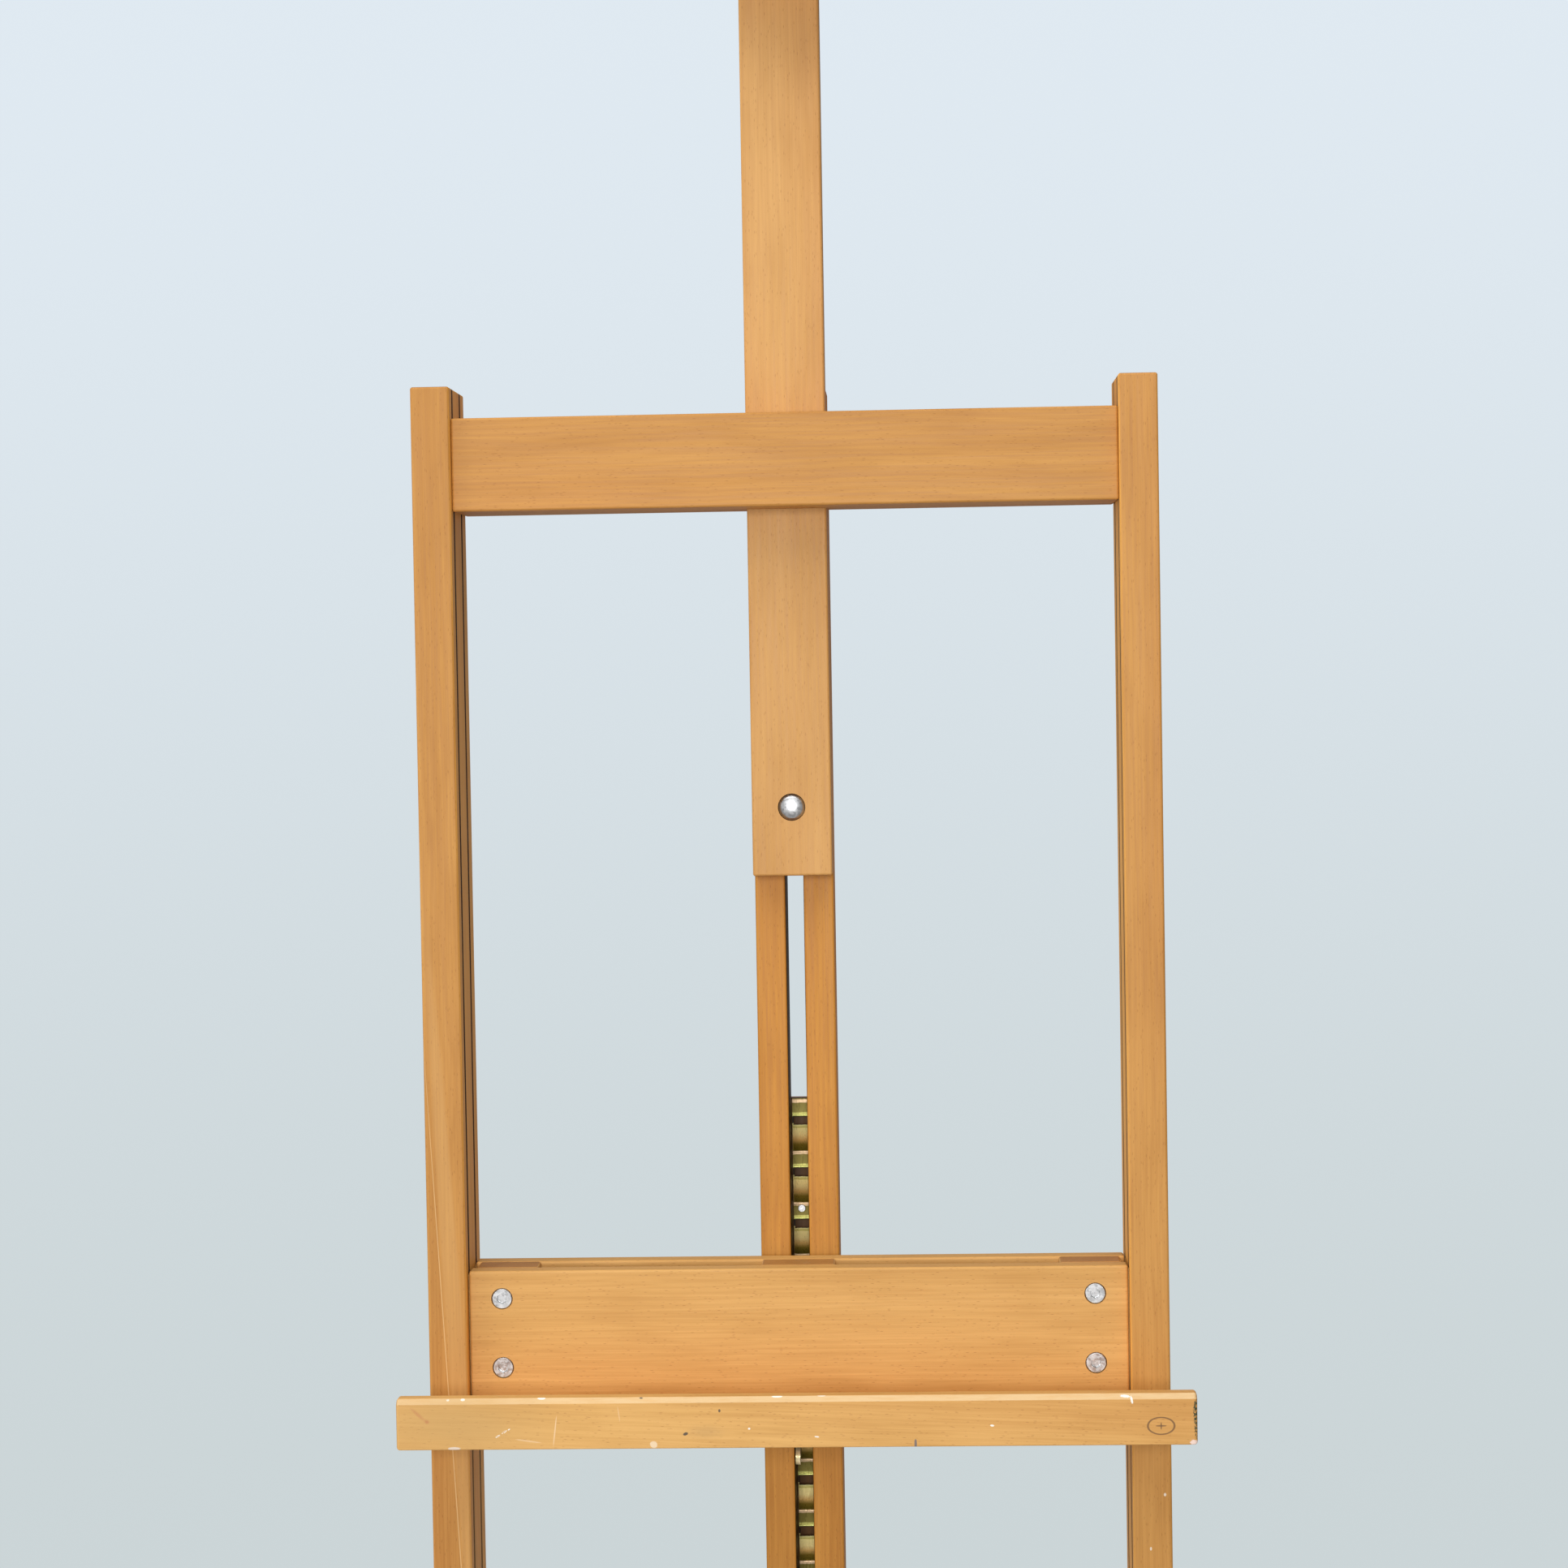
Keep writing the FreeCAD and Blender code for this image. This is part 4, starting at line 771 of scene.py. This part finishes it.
def headed_pin(mesh, facts, recess):
    """Adds a bolt or screw with a chamfered head and a hex, cross or domed top."""
    pin = bmesh.new()
    radius, height = facts["head_radius"], facts["head_height"]
    if recess == "dome":
        crown = ring(pin, radius * math.sin(DOME_FIRST), PIN_SEGMENTS)
        closed_cap(pin, crown)
        span = DOME_LAST - DOME_FIRST
        angles = [DOME_FIRST + span * step / DOME_STEPS for step in range(DOME_STEPS + 1)]
        for last, angle in zip(angles, angles[1:]):
            drop = height * DOME_RISE * (math.cos(angle) - math.cos(last))
            crown = next_ring(pin, crown, math.sin(angle) / math.sin(last), drop)
        outer = next_ring(pin, crown, 1 / math.sin(DOME_LAST), -height * DOME_EDGE)
        used = height * (DOME_RISE * (math.cos(DOME_FIRST) - math.cos(DOME_LAST)) + DOME_EDGE)
    else:
        chamfer = min(0.12 * radius, 0.3 * height)
        rim = ring(pin, radius - chamfer, PIN_SEGMENTS)
        if recess == "hex":
            mouth = ring(pin, radius * 0.5, 6)
        else:
            mouth = cross_outline(pin, radius * 0.55, radius * 0.11)
        bmesh.ops.bridge_loops(pin, edges=rim + mouth)
        floor = next_ring(pin, mouth, 0.9, -height * 0.6)
        closed_cap(pin, floor)
        outer = next_ring(pin, rim, radius / (radius - chamfer), -chamfer)
        used = chamfer
    under = next_ring(pin, outer, 1.0, used - height)
    neck = next_ring(pin, under, facts["shank_radius"] / radius, 0)
    tip = next_ring(pin, neck, 1.0, height - facts["length"])
    closed_cap(pin, tip)
    bmesh.ops.recalc_face_normals(pin, faces=pin.faces)
    turn = facts["outward"].to_track_quat("Z", "Y").to_matrix().to_4x4()
    bmesh.ops.transform(pin, matrix=Matrix.Translation(facts["top"]) @ turn, verts=pin.verts)
    part = bpy.data.meshes.new("pin")
    pin.to_mesh(part)
    pin.free()
    mesh.from_mesh(part)
    bpy.data.meshes.remove(part)


FIXINGS = (
    ("cross_member_bolts", "hex", ACROSS), ("crossbar_bolts", "hex", ACROSS),
    ("hinge_bolts", "dome", ACROSS), ("strut_foot_bolts", "dome", ACROSS),
    ("strut_bolts", "dome", ACROSS), ("foot_screws", "cross", Vector((0, 0, 1))),
    ("rail_screws", "cross", BACK), ("head_bolts", "hex", BACK), ("rack_screws", "cross", BACK),
    ("batten_screws", "cross", BACK), ("floor_screws", "cross", BACK), ("carriage_bolts", "hex", BACK),
    ("catch_screws", "cross", BACK), ("holder_screws", "cross", BACK), ("mast_clamp_bolt", "dome", BACK),
)


class EASEL_OT_fixings(bpy.types.Operator):
    """Model the listed bolts and screws with their heads, with a driver recess in the hex and cross heads"""
    bl_idname = "easel.fixings"
    bl_label = "Bolts and screws"

    def execute(self, context):
        finish = bpy.data.materials.get("zinc_plate") or zinc_finish()
        for node, recess, axis in FIXINGS:
            mesh = bmesh.new()
            for places in islands(node):
                headed_pin(mesh, pin_facts(places, axis), recess)
            piece = stand_in("detailed_" + node, mesh, finish, node)
            shade_smooth(piece)
        return {"FINISHED"}


SPRING_WIRE = 0.32 * MM
SPRING_STEPS_PER_TURN = 24


class EASEL_OT_catch_spring(bpy.types.Operator):
    """Wind the torsion spring of the catch"""
    bl_idname = "easel.catch_spring"
    bl_label = "Catch spring"

    def execute(self, context):
        low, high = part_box("catch_spring")
        wire = SPRING_WIRE
        turns = metal().spring_turns
        radius = (high.y - low.y) / 2 - wire
        length = (high.x - low.x) - 2 * wire
        mesh = bmesh.new()
        made = bmesh.ops.create_circle(mesh, cap_ends=True, radius=wire, segments=10)["verts"]
        bmesh.ops.rotate(mesh, verts=made, cent=(0, 0, 0), matrix=Matrix.Rotation(QUARTER, 3, "X"))
        bmesh.ops.translate(mesh, verts=made, vec=(radius, 0, 0))
        section = mesh.verts[:] + mesh.edges[:] + mesh.faces[:]
        steps = turns * SPRING_STEPS_PER_TURN
        bmesh.ops.spin(mesh, geom=section, cent=(0, 0, 0), axis=(0, 0, 1), dvec=(0, 0, length / steps),
                       angle=2 * math.pi * turns, steps=steps, use_duplicate=False)
        place = Matrix.Translation((low.x + wire, (low.y + high.y) / 2, (low.z + high.z) / 2))
        turn = Matrix.Rotation(QUARTER, 4, "Y")
        bmesh.ops.transform(mesh, matrix=place @ turn, verts=mesh.verts)
        finish = bpy.data.materials.get("zinc_plate") or zinc_finish()
        shade_smooth(stand_in("wound_catch_spring", mesh, finish, "catch_spring"), 60)
        return {"FINISHED"}


KNOB_LOBES = 6
KNOB_LOBE_DEPTH = 0.085
KNOB_SEGMENTS = 72
# Rings of a knob from its neck up to its cap: radius in mm, share of the lobes' depth, height in mm
KNOB_LEVELS = (
    (9.0, 0.0, 0.0), (10.0, 0.0, 1.0), (10.0, 0.0, 7.0), (11.5, 0.3, 8.2), (15.0, 0.8, 9.0),
    (17.8, 1.0, 10.4), (18.3, 1.0, 13.0), (18.4, 1.0, 19.0), (18.0, 1.0, 22.6), (16.6, 1.0, 24.6),
    (14.0, 0.8, 25.8), (11.2, 0.3, 26.0), (9.2, 0.0, 25.9), (8.8, 0.0, 24.9),
)


def knob_shape():
    """Six-lobed hand knob along +Z with a recessed cap, from one ring lofted through the levels."""
    mesh = bmesh.new()
    neck_radius = KNOB_LEVELS[0][0] * MM
    edges = ring(mesh, neck_radius, KNOB_SEGMENTS)
    closed_cap(mesh, edges)
    for radius, lobes, height in KNOB_LEVELS[1:]:
        out = bmesh.ops.extrude_edge_only(mesh, edges=edges)["geom"]
        for vert in (item for item in out if isinstance(item, bmesh.types.BMVert)):
            turn = math.atan2(vert.co.y, vert.co.x)
            reach = radius * MM * (1 + KNOB_LOBE_DEPTH * lobes * math.cos(KNOB_LOBES * turn))
            vert.co = Vector((reach * math.cos(turn), reach * math.sin(turn), height * MM))
        edges = [item for item in out if isinstance(item, bmesh.types.BMEdge)]
    closed_cap(mesh, edges)
    return mesh


class EASEL_OT_knobs(bpy.types.Operator):
    """Model the four clamp knobs"""
    bl_idname = "easel.knobs"
    bl_label = "Clamp knobs"

    def execute(self, context):
        finish = moulded_finish("plastic_knob", metal().plastic, (0.10, 0.095, 0.085), 0.42, 2600.0)
        joints = {"left_strut_knob": "left_strut_knob_turn", "right_strut_knob": "right_strut_knob_turn",
                  "mast_knob": "mast_knob_turn", "holder_knob": "holder_knob_turn"}
        for node, joint in joints.items():
            outward = Vector(JOINTS[joint]["axis"])
            pivot = Vector(JOINTS[joint]["pos_m"])
            ends = [(vertex.co - pivot).dot(outward) for vertex in frame["nodes"][node].data.vertices]
            mesh = knob_shape()
            place = Matrix.Translation(pivot + outward * min(ends))
            turn = outward.to_track_quat("Z", "Y").to_matrix().to_4x4()
            bmesh.ops.transform(mesh, matrix=place @ turn, verts=mesh.verts)
            piece = stand_in("moulded_" + node, mesh, finish, node)
            shade_smooth(piece, 50)
        return {"FINISHED"}


class EASEL_OT_feet(bpy.types.Operator):
    """Finish the rubber feet"""
    bl_idname = "easel.feet"
    bl_label = "Rubber feet"

    def execute(self, context):
        finish = moulded_finish("rubber_foot", metal().rubber, (0.12, 0.11, 0.10), 0.75, 900.0)
        dress(("rubber_feet",), finish)
        return {"FINISHED"}


# Stage ---------------------------------------------------------------------------------------

# Camera's place in metres and turns in radians, in the leaning frame's own directions
CAMERA_ACROSS = 0.0794
CAMERA_BACK = -2.1261
CAMERA_UP = 1.1297
CAMERA_YAW = 0.03936
CAMERA_PITCH = -0.03248
CAMERA_ROLL = -0.01665
CAMERA_LENS = 50.0
CAMERA_SENSOR = 24.0


def make_camera():
    """Camera square to the leaning frame, a little above the tray and to its right."""
    ahead = BACK * math.cos(CAMERA_YAW) - ACROSS * math.sin(CAMERA_YAW)
    aside = ACROSS * math.cos(CAMERA_YAW) + BACK * math.sin(CAMERA_YAW)
    forward = ahead * math.cos(CAMERA_PITCH) + UP * math.sin(CAMERA_PITCH)
    above = UP * math.cos(CAMERA_PITCH) - ahead * math.sin(CAMERA_PITCH)
    right = aside * math.cos(CAMERA_ROLL) + above * math.sin(CAMERA_ROLL)
    top = above * math.cos(CAMERA_ROLL) - aside * math.sin(CAMERA_ROLL)
    data = bpy.data.cameras.new("easel_camera")
    data.lens = CAMERA_LENS
    data.sensor_fit = "HORIZONTAL"
    data.sensor_width = CAMERA_SENSOR
    camera = bpy.data.objects.new("easel_camera", data)
    bpy.context.scene.collection.objects.link(camera)
    turn = Matrix((right, top, -forward)).transposed().to_4x4()
    place = HINGE + ACROSS * CAMERA_ACROSS + BACK * CAMERA_BACK + UP * CAMERA_UP
    camera.matrix_world = Matrix.Translation(place) @ turn
    bpy.context.scene.camera = camera


def softbox(name, place, aim, size, power, tint=(1, 1, 1)):
    """Square area light aimed at a point."""
    data = bpy.data.lights.new(name, "AREA")
    data.size = size
    data.energy = power
    data.color = tint
    lamp = bpy.data.objects.new(name, data)
    bpy.context.scene.collection.objects.link(lamp)
    lamp.location = place
    lamp.rotation_euler = (Vector(aim) - Vector(place)).to_track_quat("-Z", "Y").to_euler()


def make_backdrop():
    """Pale backdrop for the camera that darkens below eye level, and even neutral light for the rest."""
    world = bpy.data.worlds.new("easel_backdrop")
    world.use_nodes = True
    bpy.context.scene.world = world
    tree = world.node_tree
    height = axes(tree, add(tree, "TexCoord").outputs["Generated"])["Z"]
    tint = blended(tree, ranged(tree, height, -0.38, 0.12), staging().wall_low, staging().wall_high)
    grey = staging().ambient
    seen = add(tree, "LightPath").outputs["Is Camera Ray"]
    tree.links.new(blended(tree, seen, (grey, grey * 0.98, grey * 0.95), tint),
                   tree.nodes["Background"].inputs["Color"])


def make_floor():
    """Pale floor disc with a faint mottled surface."""
    material, tree, shader = blank_material("stage_floor")
    mottle = noise(tree, add(tree, "TexCoord").outputs["Object"], detail=4.0, scale=6.0)
    patchy = tuple(channel * 0.94 for channel in staging().floor)
    tint = blended(tree, mottle, staging().floor, patchy)
    tree.links.new(tint, shader.inputs["Base Color"])
    shader.inputs["Roughness"].default_value = 0.6
    mesh = bmesh.new()
    bmesh.ops.create_circle(mesh, cap_ends=True, radius=staging().floor_radius, segments=96)
    data = bpy.data.meshes.new("stage_floor")
    mesh.to_mesh(data)
    mesh.free()
    data.materials.append(material)
    floor = bpy.data.objects.new("stage_floor", data)
    bpy.context.scene.collection.objects.link(floor)


class EASEL_OT_stage(bpy.types.Operator):
    """Set the floor, backdrop, soft lights and camera"""
    bl_idname = "easel.stage"
    bl_label = "Stage"

    def execute(self, context):
        context.scene.view_settings.view_transform = "Standard"
        make_floor()
        make_backdrop()
        softbox("key_softbox", (-0.1, -3.2, 1.65), (0, 0, 1.0), 0.8, staging().key_power)
        softbox("top_softbox", (-0.3, -0.9, 3.5), (0, -0.2, 0), 3.0, staging().top_power)
        softbox("side_softbox", (-3.2, -1.1, 1.3), (0, 0, 0.8), 1.4, staging().side_power)
        make_camera()
        return {"FINISHED"}


# Panel and registration ----------------------------------------------------------------------

PIECE_OPERATORS = (
    EASEL_OT_base_boards, EASEL_OT_frame_boards, EASEL_OT_tray_boards, EASEL_OT_mast_boards,
    EASEL_OT_rack_and_catch, EASEL_OT_fixings, EASEL_OT_catch_spring, EASEL_OT_knobs, EASEL_OT_feet,
    EASEL_OT_stage,
)


class EASEL_PT_pieces(bpy.types.Panel):
    bl_idname = "EASEL_PT_pieces"
    bl_label = "Easel"
    bl_space_type = "VIEW_3D"
    bl_region_type = "UI"
    bl_category = "Easel"

    def draw(self, context):
        for operator in PIECE_OPERATORS:
            self.layout.operator(operator.bl_idname)
        for settings in (context.scene.easel_wood, context.scene.easel_metal, context.scene.easel_stage):
            box = self.layout.box()
            for name in settings.bl_rna.properties.keys():
                if name not in ("rna_type", "name"):
                    box.prop(settings, name)


CLASSES = (EaselWoodSettings, EaselMetalSettings, EaselStageSettings, *PIECE_OPERATORS, EASEL_PT_pieces)


def register():
    for item in CLASSES:
        bpy.utils.register_class(item)
    bpy.types.Scene.easel_wood = PointerProperty(type=EaselWoodSettings)
    bpy.types.Scene.easel_metal = PointerProperty(type=EaselMetalSettings)
    bpy.types.Scene.easel_stage = PointerProperty(type=EaselStageSettings)


def unregister():
    del bpy.types.Scene.easel_stage
    del bpy.types.Scene.easel_metal
    del bpy.types.Scene.easel_wood
    for item in reversed(CLASSES):
        bpy.utils.unregister_class(item)


def main():
    register()
    bpy.ops.easel.base_boards()
    bpy.ops.easel.frame_boards()
    bpy.ops.easel.tray_boards()
    bpy.ops.easel.mast_boards()
    bpy.ops.easel.rack_and_catch()
    bpy.ops.easel.fixings()
    bpy.ops.easel.catch_spring()
    bpy.ops.easel.knobs()
    bpy.ops.easel.feet()
    bpy.ops.easel.stage()


if __name__ == "__main__":
    main()
